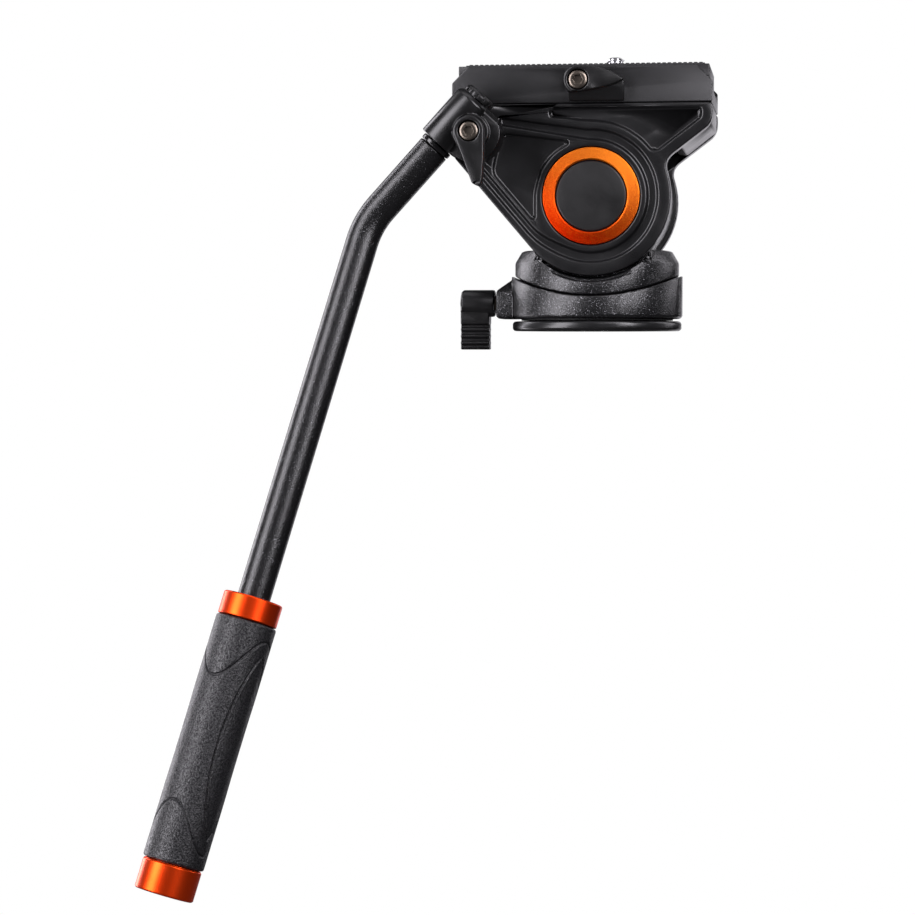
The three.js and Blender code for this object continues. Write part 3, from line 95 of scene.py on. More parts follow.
class Finish:
    """A procedural material on Object coordinates, built node by node."""

    NOISE_LOW, NOISE_HIGH = 0.3, 0.7  # most of a noise lies between these
    MIX_SHARE, MIX_FIRST, MIX_SECOND, MIX_RESULT = 0, 6, 7, 2  # sockets of a node that mixes colours

    def __init__(self, name, **settings):
        self.material = bpy.data.materials.new(name)
        self.material.use_nodes = True
        self.nodes = self.material.node_tree.nodes
        self.links = self.material.node_tree.links
        self.shader = self.nodes["Principled BSDF"]
        self.place = self.nodes.new("ShaderNodeTexCoord").outputs["Object"]
        for socket, value in settings.items():
            self.shader.inputs[socket.replace("_", " ")].default_value = value

    def node(self, kind, inputs=None, **settings):
        made = self.nodes.new(kind)
        for key, value in settings.items():
            setattr(made, key, value)
        for key, value in (inputs or {}).items():
            if isinstance(value, bpy.types.NodeSocket):
                self.links.new(value, made.inputs[key])
            else:
                made.inputs[key].default_value = value
        return made

    def turned_to(self, matrix):
        """Object coordinates seen from a piece's own frame."""
        back = matrix.inverted()
        inputs = {"Vector": self.place, "Rotation": back.to_euler(), "Location": back.to_translation()}
        return self.node("ShaderNodeMapping", inputs).outputs["Vector"]

    def noise(self, scale, detail=3.0, roughness=0.55, at=None):
        inputs = {"Vector": at or self.place, "Scale": scale, "Detail": detail, "Roughness": roughness}
        return self.node("ShaderNodeTexNoise", inputs).outputs["Fac"]

    def spread(self, value, low, high, to_low, to_high):
        inputs = {"Value": value, "From Min": low, "From Max": high, "To Min": to_low, "To Max": to_high}
        return self.node("ShaderNodeMapRange", inputs).outputs["Result"]

    def swing(self, noise, low, high):
        """A noise spread between two values."""
        return self.spread(noise, self.NOISE_LOW, self.NOISE_HIGH, low, high)

    def mix(self, share, first, second):
        inputs = {self.MIX_SHARE: share, self.MIX_FIRST: first, self.MIX_SECOND: second}
        return self.node("ShaderNodeMix", inputs, data_type="RGBA").outputs[self.MIX_RESULT]

    def bump(self, pattern, depth, strength, over=None):
        inputs = {"Height": pattern, "Distance": depth, "Strength": strength}
        if over is not None:
            inputs["Normal"] = over
        return self.node("ShaderNodeBump", inputs).outputs["Normal"]

    def put(self, socket, value):
        self.links.new(value, self.shader.inputs[socket])

    def clouded(self, scale, detail, low, high):
        """Colours the piece in soft clouds between two colours, and gives back the clouds."""
        cloud = self.noise(scale, detail)
        self.put("Base Color", self.mix(self.swing(cloud, 0, 1), low, high))
        return cloud


def tint(shade, red=1.0, green=1.0, blue=1.0):
    """A colour made from one shade of grey and a share of it for each channel."""
    return (shade * red, shade * green, shade * blue, 1)


def satin_paint(name, shade, roughness):
    """Smooth satin black paint over a casting, with a fine orange-peel and faint wear."""
    f = Finish(name)
    cloud = f.clouded(60, 4, tint(shade, 0.85, 0.86, 0.92), tint(shade, 1.2, 1.2, 1.28))
    f.put("Roughness", f.swing(cloud, roughness - 0.04, roughness + 0.05))
    peel = f.noise(scale=2600, detail=2)
    dust = f.noise(scale=9000, detail=1)
    dusty = f.bump(dust, depth=0.00001, strength=0.35)
    f.put("Normal", f.bump(peel, depth=0.00002, strength=0.5, over=dusty))
    return f.material


FLAKE_SIZE, GRAIN_SIZE = 0.00019, 0.0004  # in the sparkle paint, in metres
FLAKE_LEAN = 0.5
NO_LEAN = (0.5, 0.5, 0.5)  # the middle of a cell's colour, which tells how its flake leans


def sparkle_paint(name, shade, flake_shade, flake_share, grain_depth):
    """Near-black grained paint with metal flakes in it that each face their own way."""
    f = Finish(name)
    cells = f.node("ShaderNodeTexVoronoi", {"Vector": f.place, "Scale": 1 / FLAKE_SIZE})
    draw = f.node("ShaderNodeTexWhiteNoise", {"Vector": cells.outputs["Position"]}).outputs["Value"]
    flakes = f.spread(draw, 1 - flake_share, 1 - flake_share / 2, 0, 1)
    cloud = f.noise(scale=45)
    paint = f.mix(f.swing(cloud, 0, 1), tint(shade, 0.8, 0.8, 0.86), tint(shade, 1.25, 1.25, 1.36))
    f.put("Base Color", f.mix(flakes, paint, tint(flake_shade, blue=1.05)))
    f.put("Metallic", flakes)
    f.put("Roughness", f.spread(flakes, 0, 1, 0.28, 0.26))
    grain = f.noise(scale=1 / GRAIN_SIZE, detail=2)
    grained = f.bump(grain, grain_depth, strength=0.8)
    way = f.node("ShaderNodeVectorMath", {0: cells.outputs["Color"], 1: NO_LEAN}, operation="SUBTRACT")
    reach = f.spread(flakes, 0, 1, 0, FLAKE_LEAN)
    turn = f.node("ShaderNodeVectorMath", {0: way.outputs["Vector"], "Scale": reach}, operation="SCALE")
    facing = f.node("ShaderNodeVectorMath", {0: grained, 1: turn.outputs["Vector"]}, operation="ADD")
    unit = f.node("ShaderNodeVectorMath", {0: facing.outputs["Vector"]}, operation="NORMALIZE")
    f.put("Normal", unit.outputs["Vector"])
    return f.material


def round_the_axis(f, own):
    """Distance from a piece's axis and place along it, for marks that run round the piece."""
    parts = f.node("ShaderNodeSeparateXYZ", {"Vector": own})
    flat = f.node("ShaderNodeCombineXYZ", {"X": parts.outputs["X"], "Y": parts.outputs["Y"]})
    radius = f.node("ShaderNodeVectorMath", {0: flat.outputs["Vector"]}, operation="LENGTH")
    inputs = {"X": radius.outputs["Value"], "Z": parts.outputs["Z"]}
    return f.node("ShaderNodeCombineXYZ", inputs).outputs["Vector"]


def anodised(name, matrix, roughness, metallic, grain_depth, colors, fade=None):
    """Orange anodised aluminium with fine turning marks. A fade is a direction with its start and end,
    along which the colour goes from the first colour to the second: painted shade at the start and a
    painted highlight at the end.
    """
    f = Finish(name, Metallic=metallic)
    marks = f.noise(scale=9000, detail=2, roughness=0.5, at=round_the_axis(f, f.turned_to(matrix)))
    grain = f.noise(scale=2600)
    # Painted light: with a fade the colour is shaded at its start and lit at its end; without one the tone
    # varies at random.
    if fade:
        way, start, end = fade
        along = f.node("ShaderNodeVectorMath", {0: f.place, 1: way}, operation="DOT_PRODUCT")
        share = f.spread(along.outputs["Value"], start, end, 0, 1)
    else:
        share = f.swing(f.noise(scale=70), 0, 1)
    speckle = f.swing(grain, -0.2, 0.2)
    total = f.node("ShaderNodeMath", {0: share, 1: speckle}, operation="ADD", use_clamp=True)
    f.put("Base Color", f.mix(total.outputs["Value"], *colors))
    f.put("Roughness", f.swing(marks, roughness - 0.02, roughness + 0.03))
    grained = f.bump(grain, grain_depth, strength=0.7)
    f.put("Normal", f.bump(marks, depth=0.000004, strength=0.15, over=grained))
    return f.material


def moulded_plastic(name, shade, roughness):
    """Black or white moulded plastic with a fine even grain."""
    f = Finish(name)
    cloud = f.clouded(80, 3, tint(shade, 0.85, 0.85, 0.9), tint(shade, 1.2, 1.2, 1.22))
    f.put("Roughness", f.swing(cloud, roughness - 0.05, roughness + 0.07))
    grain = f.noise(scale=4200, detail=2)
    f.put("Normal", f.bump(grain, depth=0.00004, strength=0.5))
    return f.material


def grip_rubber(name, matrix):
    """Dark foam rubber with a skin like fine leather."""
    f = Finish(name)
    own = f.turned_to(matrix)
    pebble_inputs = {"Vector": own, "Scale": 1700, "Smoothness": 0.3}
    pebbles = f.node("ShaderNodeTexVoronoi", pebble_inputs, feature="SMOOTH_F1")
    dimples = f.spread(pebbles.outputs["Distance"], 0.1, 0.75, 1, 0)
    creases = f.noise(scale=1850, detail=2, roughness=0.6, at=own)
    crests = f.spread(creases, 0.36, 0.64, 0, 1)
    f.put("Base Color", f.mix(crests, (0.003, 0.003, 0.0036, 1), (0.012, 0.012, 0.0135, 1)))
    f.put("Roughness", f.swing(f.noise(scale=60), 0.36, 0.44))
    f.put("Specular IOR Level", f.spread(crests, 0, 1, 0.2, 0.74))
    creased = f.bump(creases, depth=0.00026, strength=0.9)
    f.put("Normal", f.bump(dimples, depth=0.00008, strength=0.7, over=creased))
    return f.material


def pad_rubber(name):
    """Dull black rubber with a coarse grain."""
    f = Finish(name)
    cloud = f.clouded(90, 3, (0.008, 0.008, 0.009, 1), (0.014, 0.014, 0.015, 1))
    f.put("Roughness", f.swing(cloud, 0.62, 0.78))
    grain = f.noise(scale=5200)
    f.put("Normal", f.bump(grain, depth=0.00006, strength=0.7))
    return f.material


def turned_metal(name, color, roughness):
    """Bare or darkened metal with a fine grain and faint stains."""
    f = Finish(name, Metallic=1.0)
    f.clouded(300, 4, tint(0.78, *color), tint(1, *color))
    grain = f.noise(scale=5000)
    f.put("Roughness", f.swing(grain, roughness - 0.06, roughness + 0.08))
    f.put("Normal", f.bump(grain, depth=0.000012, strength=0.5))
    return f.material


# Frames of the rings, the handle and the levers

def shift(place):
    return Matrix.Translation(Vector(place))


def about(axis, angle):
    return Matrix.Rotation(angle, 4, axis)


sleeve_way = -Vector(JOINT["handle_twist"]["axis"])
handle_angle = math.atan2(sleeve_way.x, sleeve_way.z)
sleeve_frame = shift(joint_place("handle_twist")) @ about("Y", handle_angle) @ about("Z", -TUBE_TWIST)
lower_frame = sleeve_frame @ shift((0, 0, -BEND_PLACE)) @ about("Y", -BEND_ANGLE)
facing_near = about("X", math.pi / 2)
facing_far = about("X", -math.pi / 2)
near_ring_frame = shift(TILT_CENTRE) @ facing_near
far_ring_frame = shift(TILT_CENTRE) @ facing_far


def in_metres(matrix):
    """The same frame for a material, whose coordinates are in metres."""
    made = matrix.copy()
    made.translation = matrix.translation * MM
    return made


# Finishes of this head

cheek_paint = satin_paint("cheek_satin_black", 0.005, 0.31)
plate_paint = satin_paint("plate_satin_black", 0.007, 0.37)
block_paint = satin_paint("block_satin_black", 0.002, 0.3)
base_paint = satin_paint("base_satin_black", 0.006, 0.3)
housing_paint = sparkle_paint("housing_sparkle_black", shade=0.0045, flake_shade=0.13, flake_share=0.13,
                              grain_depth=0.00014)
tube_paint = sparkle_paint("tube_sparkle_black", shade=0.004, flake_shade=0.08, flake_share=0.1,
                           grain_depth=0.00011)

# Painted light on the near ring: deep orange low down is painted shade, and light orange towards the light
# is a painted highlight, along this direction.
LIGHT_SIDE = Vector((0.5, 0, 0.87))
ring_middle = LIGHT_SIDE.dot(TILT_CENTRE) * MM
ring_painted_light_fade = (LIGHT_SIDE, ring_middle - RING_OUTER * MM, ring_middle + RING_OUTER * MM)
# Painted light: this ring's first colour is its shaded orange and its second colour its lit orange.
near_ring_orange_painted_light = anodised("ring_orange_near_painted_light", in_metres(near_ring_frame), roughness=0.34, metallic=1.0,
                            grain_depth=0.00012, fade=ring_painted_light_fade,
                            colors=((0.68, 0.020, 0.0005, 1), (1.0, 0.25, 0.02, 1)))
far_ring_orange = anodised("ring_orange_far", in_metres(far_ring_frame), roughness=0.36, metallic=1.0,
                           grain_depth=0.00012, colors=((0.93, 0.078, 0.004, 1), (1.0, 0.11, 0.007, 1)))
handle_orange = anodised("handle_orange", in_metres(lower_frame), roughness=0.33, metallic=0.94,
                         grain_depth=0.000006, colors=((0.97, 0.060, 0.005, 1), (1.0, 0.076, 0.008, 1)))
lever_black = moulded_plastic("lever_black", 0.0035, 0.32)
knob_black = moulded_plastic("knob_black", 0.0035, 0.37)
cap_black = moulded_plastic("cap_black", 0.004, 0.4)
# Painted shadow: a near-black finish for the thrust washer, standing in for the shade where it sits.
washer_painted_shadow_black = moulded_plastic("washer_painted_shadow_black", 0.004, 0.7)
neck_black = moulded_plastic("neck_gloss_black", 0.006, 0.16)
grip_black = grip_rubber("grip_rubber", in_metres(lower_frame))
pad_black = pad_rubber("pad_rubber")
bright_steel = turned_metal("bright_steel", (0.66, 0.66, 0.67), 0.26)
bolt_steel = turned_metal("bolt_steel", (0.17, 0.145, 0.12), 0.32)
bearing_bronze = turned_metal("bearing_bronze", (0.62, 0.42, 0.2), 0.38)
white_acetal = moulded_plastic("white_acetal", 0.7, 0.45)

FINISH_OF_SLOT = {
    "satin_black": cheek_paint, "sparkle_black": housing_paint, "orange": handle_orange,
    "black_plastic": lever_black, "rubber": pad_black, "steel": bright_steel,
    "dark_steel": bolt_steel, "bronze": bearing_bronze, "acetal": white_acetal,
}
for node, solid in frame["nodes"].items():
    solid.data.materials.clear()
    solid.data.materials.append(FINISH_OF_SLOT[SLOT[node]])
# Painted shadow: the thrust washer takes this near-black finish instead of its slot's finish.
frame["nodes"]["pan_thrust_washer"].data.materials[0] = washer_painted_shadow_black


# Making pieces

def place(bm, matrix):
    """Takes a piece from its own frame in millimetres to the head's frame in metres."""
    bmesh.ops.transform(bm, matrix=Matrix.Scale(MM, 4) @ matrix, verts=bm.verts)


def add_piece(name, bm, finish, *nodes):
    mesh = bpy.data.meshes.new(name)
    bm.to_mesh(mesh)
    bm.free()
    mesh.shade_smooth()
    mesh.materials.append(finish)
    piece = bpy.data.objects.new(name, mesh)
    bpy.context.scene.collection.objects.link(piece)
    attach(piece, BODY[nodes[0]])
    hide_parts(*nodes)
    return piece


def soften(piece, width, segments=3, angle=30):
    """Rounds the edges of a piece that are sharper than an angle."""
    bevel = piece.modifiers.new("edges", "BEVEL")
    bevel.width = width * MM
    bevel.segments = segments
    bevel.limit_method = "ANGLE"
    bevel.angle_limit = math.radians(angle)
    bevel.use_clamp_overlap = False
    bevel.harden_normals = True
    bevel.miter_outer = "MITER_ARC"
    return bevel


SAME_CORNER = 0.004  # corners of a node nearer than this are one
SAME_POINT = 0.0005  # points of a new piece nearer than this are one
FLAT_ANGLE = math.radians(1)
WIDEST_FACE = 12  # faces with more corners don't take a rounding well


def merged(node):
    """A copy of the node's own shape with its small flat faces joined."""
    bm = bmesh.new()
    bm.from_mesh(frame["nodes"][node].data)
    bmesh.ops.remove_doubles(bm, verts=bm.verts, dist=SAME_CORNER * MM)
    bmesh.ops.dissolve_limit(bm, angle_limit=FLAT_ANGLE, use_dissolve_boundaries=False,
                             verts=bm.verts, edges=bm.edges)
    wide = [face for face in bm.faces if len(face.verts) > WIDEST_FACE]
    bmesh.ops.triangulate(bm, faces=wide)
    return bm


def casting(node, finish, rounding, segments=3, angle=30):
    """The node's own shape with its edges rounded."""
    soften(add_piece(node + "_shape", merged(node), finish, node), rounding, segments, angle)


def close_up(bm):
    """Joins the points that fall together and turns the faces outwards."""
    bmesh.ops.remove_doubles(bm, verts=bm.verts, dist=SAME_POINT)
    bmesh.ops.recalc_face_normals(bm, faces=bm.faces)


def turned(section, steps, matrix):
    """A solid of revolution about its own Z axis from (radius, height) corners."""
    bm = bmesh.new()
    corners = [bm.verts.new((r, 0, h)) for r, h in section]
    for first, second in zip(corners, corners[1:]):
        bm.edges.new((first, second))
    if section[0][0] > 0 and section[-1][0] > 0:
        bm.edges.new((corners[-1], corners[0]))
    bmesh.ops.spin(bm, geom=list(bm.verts) + list(bm.edges), cent=(0, 0, 0), axis=(0, 0, 1),
                   dvec=(0, 0, 0), angle=FULL, steps=steps, use_merge=True)
    close_up(bm)
    place(bm, matrix)
    return bm


def ring_stack(levels, steps):
    """Rings joined one to the next; a level is (height, radius for an angle), and both ends are closed."""
    bm = bmesh.new()
    first = bmesh.ops.create_circle(bm, cap_ends=True, radius=1, segments=steps)
    edges = list(bm.edges)
    shape_ring(first["verts"], levels[0])
    for level in levels[1:]:
        made = bmesh.ops.extrude_edge_only(bm, edges=edges)["geom"]
        edges = [g for g in made if isinstance(g, bmesh.types.BMEdge)]
        edges = [e for e in edges if len(e.link_faces) == 1]
        verts = [g for g in made if isinstance(g, bmesh.types.BMVert)]
        shape_ring(verts, level)
    bmesh.ops.holes_fill(bm, edges=edges, sides=0)
    bmesh.ops.recalc_face_normals(bm, faces=bm.faces)
    return bm


def shape_ring(verts, level):
    height, radius = level
    for v in verts:
        angle = math.atan2(v.co.y, v.co.x)
        r = radius(angle) if callable(radius) else radius
        v.co = (r * math.cos(angle), r * math.sin(angle), height)


def hexagon(flat):
    """Radius of a hexagon with a given distance from its middle to its flats, at an angle."""
    return lambda angle: flat / math.cos((angle % (FULL / 6)) - FULL / 12)


# Rings, caps and cheeks

RING_CORNER = 0.2
RING_LIP = 0.5  # the rounded inner edge, and its knee inwards and down
LIP_KNEE_IN, LIP_KNEE_DOWN = 0.12, 0.28
CAP_SINK, CAP_CROWN = 0.46, 0.45
CAP_EDGE_IN, CAP_EDGE_DOWN, CAP_WALL_DOWN = 0.35, 0.5, 0.75
CROWN_SHARES = (0.9, 0.7, 0.5, 0.3, 0.1, 0)


def tilt_ring(side, matrix, finish, face):
    back = face - RING_THICKNESS
    section = [
        (RING_INNER, back), (RING_OUTER, back), (RING_OUTER, face - RING_SLOPE - RING_CORNER),
        (RING_OUTER - RING_CORNER, face - RING_SLOPE), (RING_INNER + RING_LIP, face),
        (RING_INNER + LIP_KNEE_IN, face - LIP_KNEE_DOWN), (RING_INNER, face - RING_LIP),
    ]
    bm = turned(section, RING_STEPS, matrix)
    ring = add_piece(side + "_ring_face", bm, finish, side + "_tilt_ring")
    soften(ring, width=0.08, segments=2, angle=20)


def centre_cap(side, matrix, face):
    back = face - RING_THICKNESS
    edge = RING_INNER - FIT
    section = [(0, back), (edge, back), (edge, face - CAP_WALL_DOWN)]
    section += [(edge - CAP_EDGE_IN, face - CAP_EDGE_DOWN)]
    section += [(edge * share, face - CAP_SINK + CAP_CROWN * (1 - share ** 2)) for share in CROWN_SHARES]
    bm = turned(section, CAP_STEPS, matrix)
    cap = add_piece(side + "_cap_face", bm, cap_black, side + "_centre_cap")
    soften(cap, width=0.1, segments=2, angle=20)


def tilt_rings():
    face = CHEEK_OUTER + RING_PROUD
    for side, matrix, finish in (("right", near_ring_frame, near_ring_orange_painted_light),
                                 ("left", far_ring_frame, far_ring_orange)):
        tilt_ring(side, matrix, finish, face)
        centre_cap(side, matrix, face)


CHEEK_EDGE, CHEEK_CORNER = 0.5, 0.4
ON_FACE = 0.02  # corners this near the outer face are on it
RING_SEAT, PLATE_SEAT = 2, 1  # edges this near the ring or the cheek's top aren't outline
UPRIGHT = 0.1  # a wall's normal has less than this share along the axle
SHARP_ANGLE = math.radians(25)


def outline_edges(bm):
    """Edges between a cheek's outer face and the wall round its outline."""
    chosen = []
    for edge in bm.edges:
        middle = (edge.verts[0].co + edge.verts[1].co) / (2 * MM)
        on_face = all(abs(abs(v.co.y) - CHEEK_OUTER * MM) < ON_FACE * MM for v in edge.verts)
        on_wall = any(abs(face.normal.y) < UPRIGHT for face in edge.link_faces)
        clear = math.hypot(middle.x, middle.z - TILT_CENTRE.z) > RING_OUTER + RING_SEAT
        if on_face and on_wall and clear and middle.z < CHEEK_TOP - PLATE_SEAT:
            chosen.append(edge)
    return chosen


def weigh_edges(bm):
    """Gives the outline's edges the whole rounding, and the other sharp edges a share of it."""
    weight = bm.edges.layers.float.new("bevel_weight_edge")
    outline = set(outline_edges(bm))
    for edge in bm.edges:
        if edge in outline:
            edge[weight] = 1.0
        elif len(edge.link_faces) == 2 and edge.calc_face_angle() > SHARP_ANGLE:
            edge[weight] = CHEEK_CORNER / CHEEK_EDGE


def cheeks():
    for side in ("right", "left"):
        bm = merged(side + "_cheek")
        weigh_edges(bm)
        shape = add_piece(side + "_cheek_shape", bm, cheek_paint, side + "_cheek")
        soften(shape, width=CHEEK_EDGE).limit_method = "WEIGHT"


# Handle

def handle_tube():
    bm = bmesh.new()
    ring = bmesh.ops.create_circle(bm, cap_ends=False, radius=TUBE_RADIUS, segments=TUBE_STEPS)
    bmesh.ops.translate(bm, vec=(0, 0, TUBE_TOP), verts=ring["verts"])
    tangent = BEND_RADIUS * math.tan(BEND_ANGLE / 2)
    start = -(BEND_PLACE - tangent)
    edges = list(bm.edges)
    edges = extend(bm, edges, (0, 0, start - TUBE_TOP))
    spun = bmesh.ops.spin(bm, geom=edges, cent=(BEND_RADIUS, 0, start), axis=(0, 1, 0),
                          dvec=(0, 0, 0), angle=-BEND_ANGLE, steps=BEND_STEPS)
    edges = [g for g in spun["geom_last"] if isinstance(g, bmesh.types.BMEdge)]
    down = Vector((math.sin(BEND_ANGLE), 0, -math.cos(BEND_ANGLE)))
    extend(bm, edges, down * (TUBE_LENGTH - tangent))
    close_up(bm)
    place(bm, sleeve_frame)
    tube = add_piece("handle_tube_wall", bm, tube_paint, "handle_tube")
    wall = tube.modifiers.new("wall", "SOLIDIFY")
    wall.thickness = TUBE_WALL * MM
    wall.offset = -1
    soften(tube, width=0.45, angle=40)


def extend(bm, edges, move):
    """Pulls open edges along, and gives back the edges at the far end."""
    made = bmesh.ops.extrude_edge_only(bm, edges=edges)["geom"]
    verts = [g for g in made if isinstance(g, bmesh.types.BMVert)]
    bmesh.ops.translate(bm, vec=move, verts=verts)
    far = set(verts)
    return [g for g in made if isinstance(g, bmesh.types.BMEdge) and set(g.verts) <= far]


PLUG_DEPTH = 12
SHANK_RADIUS, SPIGOT_SCREW_RADIUS = 3.6, 2.5
SPIGOT_SCREW_PROUD = 1.6


def spigot():
    plug = TUBE_RADIUS - TUBE_WALL - FIT
    foot = TUBE_TOP - PLUG_DEPTH
    mouth = -(SLEEVE_MOUTH + FIT)
    shoulder = SLEEVE_TOP - FIT
    tip = SLEEVE_TOP + SPIGOT_SCREW_PROUD
    section = [
        (0, foot), (plug, foot), (plug, TUBE_TOP), (NECK_RADIUS - FIT, TUBE_TOP + FIT),
        (NECK_RADIUS, TUBE_TOP + 2 * FIT), (NECK_RADIUS, mouth - FIT), (NECK_RADIUS - FIT, mouth),
        (SHANK_RADIUS, mouth), (SHANK_RADIUS, shoulder), (SPIGOT_SCREW_RADIUS, shoulder),
        (SPIGOT_SCREW_RADIUS, tip), (0, tip),
    ]
    bm = turned(section, NECK_STEPS, sleeve_frame)
    neck = add_piece("spigot_neck", bm, neck_black, "tube_spigot")
    soften(neck, width=0.12, segments=2, angle=25)


FERRULE_FOOT_IN, FERRULE_FOOT_UP = 0.35, 0.3
FERRULE_RIM_IN, FERRULE_RIM_DOWN = 0.4, 0.45
FERRULE_SINK = 0.5  # depth of the step round the tube
SINK_INNER, SINK_OUTER = 0.7, 1.2  # the step's slope, out from the hole


def ferrule():
    top, bottom, radius = -FERRULE_START, -FERRULE_END, FERRULE_RADIUS
    floor = top - FERRULE_SINK
    section = [
        (TUBE_HOLE, bottom), (radius - FERRULE_FOOT_IN, bottom), (radius, bottom + FERRULE_FOOT_UP),
        (radius, top - FERRULE_RIM_DOWN), (radius - FERRULE_RIM_IN, top), (TUBE_HOLE + SINK_OUTER, top),
        (TUBE_HOLE + SINK_INNER, floor), (TUBE_HOLE, floor),
    ]
    bm = turned(section, RING_STEPS, lower_frame)
    ring = add_piece("ferrule_ring", bm, handle_orange, "grip_ferrule")
    soften(ring, width=0.1, segments=2, angle=25)


CAP_DISH = 0.25
DISH_INNER, DISH_OUTER = 5.4, 5.7
END_CAP_CORNER = 0.5
END_CAP_RIM_IN, END_CAP_RIM_DOWN = 0.45, 0.05


def end_cap():
    top, bottom, radius = -END_CAP_START, -END_CAP_FINISH, END_CAP_RADIUS
    seat = -TUBE_LENGTH - FIT
    rim = radius - END_CAP_RIM_IN
    section = [
        (0, bottom + CAP_DISH), (DISH_INNER, bottom + CAP_DISH), (DISH_OUTER, bottom),
        (radius - END_CAP_CORNER, bottom), (radius, bottom + END_CAP_CORNER),
        (radius, top - END_CAP_CORNER), (rim, top - END_CAP_RIM_DOWN), (rim, top),
        (TUBE_HOLE, top), (TUBE_HOLE, seat), (0, seat),
    ]
    bm = turned(section, RING_STEPS, lower_frame)
    cap = add_piece("end_cap_cup", bm, handle_orange, "handle_end_cap")
    soften(cap, width=0.12, segments=2, angle=25)


# The grip's grooves, by the angle round the tube from where they meet the panel's middle line
TOP_GROOVE = (156.7, 7.6)  # middle distance along the tube, and how far it swings
LOW_GROOVE = (215.4, -7.9)
PANEL_MIDDLE, PANEL_REACH = 186.1, 31.5
PANEL_HALF_ANGLE = math.radians(41)
PANEL_POINT = 0.7  # 0.5 is an oval, and 1 has pointed ends
PANEL_SINK = 0.16
GROOVE_ANGLE = math.radians(-92)
GROOVE_DEPTH, GROOVE_HALF = 0.62, 0.55
SLOPE_STEP = 0.5  # half the length over which the panel's slope is taken


def groove(distance):
    """Depth of a rounded groove at a distance from its middle."""
    if abs(distance) >= GROOVE_HALF:
        return 0.0
    return GROOVE_DEPTH * (0.5 + 0.5 * math.cos(math.pi * distance / GROOVE_HALF))


def ring_groove(line, turn, along):
    """Depth of a groove that waves round the grip."""
    middle, swing = line
    place_here = middle + swing * math.cos(2 * turn)
    lean = 2 * swing * math.sin(2 * turn) / GRIP_RADIUS
    return groove((along - place_here) / math.hypot(1, lean))


def panel_half(along):
    """Half the panel's width, in millimetres round the grip."""
    share = min(1.0, abs(along - PANEL_MIDDLE) / PANEL_REACH)
    return PANEL_HALF_ANGLE * GRIP_RADIUS * (1 - share ** 2) ** PANEL_POINT


def panel_depth(turn, along):
    """Depth of the groove round the panel, and of the panel itself."""
    if abs(along - PANEL_MIDDLE) > PANEL_REACH + GROOVE_HALF:
        return 0.0
    lean = (panel_half(along + SLOPE_STEP) - panel_half(along - SLOPE_STEP)) / (2 * SLOPE_STEP)
    across = ((math.pi / 2 - turn) * GRIP_RADIUS - panel_half(along)) / math.hypot(1, lean)
    return groove(across) + PANEL_SINK * max(0.0, min(1.0, -across / (2 * GROOVE_HALF)))


def grip_depth(angle, along):
    turn = (angle - GROOVE_ANGLE) % math.pi
    turn = min(turn, math.pi - turn)
    rings = max(ring_groove(TOP_GROOVE, turn, along), ring_groove(LOW_GROOVE, turn, along))
    return max(rings, panel_depth(turn, along))


GRIP_ROWS, GRIP_STEPS = 330, 264
GRIP_END = 0.7  # length of the grip's rounded ends
END_CURVE = ((0, 0.8), (0.1, 0.42), (0.35, 0.13))  # how far in from the end, and in from the side


def grip_levels():
    """Heights and radii of the grip's rings, from its top edge round to its bore."""
    top, bottom = -GRIP_START, -GRIP_FINISH
    high, low = top - GRIP_END, bottom + GRIP_END
    levels = [(top - along, GRIP_RADIUS - inwards) for along, inwards in END_CURVE]
    levels += [(high + (low - high) * i / GRIP_ROWS, GRIP_RADIUS) for i in range(GRIP_ROWS + 1)]
    levels += [(bottom + along, GRIP_RADIUS - inwards) for along, inwards in reversed(END_CURVE)]
    return levels + [(bottom, TUBE_HOLE), (top, TUBE_HOLE)]


def grip():
    bm = bmesh.new()
    ring = bmesh.ops.create_circle(bm, cap_ends=False, radius=TUBE_HOLE, segments=GRIP_STEPS)
    bmesh.ops.translate(bm, vec=(0, 0, -GRIP_START), verts=ring["verts"])
    edges = list(bm.edges)
    for height, radius in grip_levels():
        edges = extend(bm, edges, (0, 0, 0))
        carved = radius == GRIP_RADIUS
        for v in {v for edge in edges for v in edge.verts}:
            angle = math.atan2(v.co.y, v.co.x)
            here = radius - grip_depth(angle, -height) if carved else radius
            v.co = (here * math.cos(angle), here * math.sin(angle), height)
    close_up(bm)
    place(bm, lower_frame)
    add_piece("grip_sleeve", bm, grip_black, "handle_grip")


# Screws

BOLT_SHANK, BOLT_HEAD, BOLT_LENGTH, BOLT_HEAD_HEIGHT = 1.9, 3.3, 5.8, 1.6
BOLT_CURVE = ((3.3, 0.75), (3.12, 0.3), (2.7, 0.05), (2.3, 0.0))  # radius, and depth below the face
SOCKET, SOCKET_MOUTH = 1.5, 1.62  # from the middle to the flats
MOUTH_DEPTH, SOCKET_DEPTH, SOCKET_END_DEPTH, SOCKET_END = 0.12, 1.1, 1.15, 0.9


def lever_bolt(name, node, matrix):
    """A button screw with a hexagon socket; its face is at height 0."""
    socket = hexagon(SOCKET)
    levels = [(-BOLT_LENGTH, BOLT_SHANK), (-BOLT_HEAD_HEIGHT, BOLT_SHANK), (-BOLT_HEAD_HEIGHT, BOLT_HEAD)]
    levels += [(-depth, radius) for radius, depth in BOLT_CURVE]
    levels += [(0.0, hexagon(SOCKET_MOUTH)), (-MOUTH_DEPTH, socket), (-SOCKET_DEPTH, socket)]
    bm = ring_stack(levels + [(-SOCKET_END_DEPTH, SOCKET_END)], BOLT_STEPS)
    place(bm, matrix)
    soften(add_piece(name, bm, bolt_steel, node), width=0.06, segments=2, angle=35)


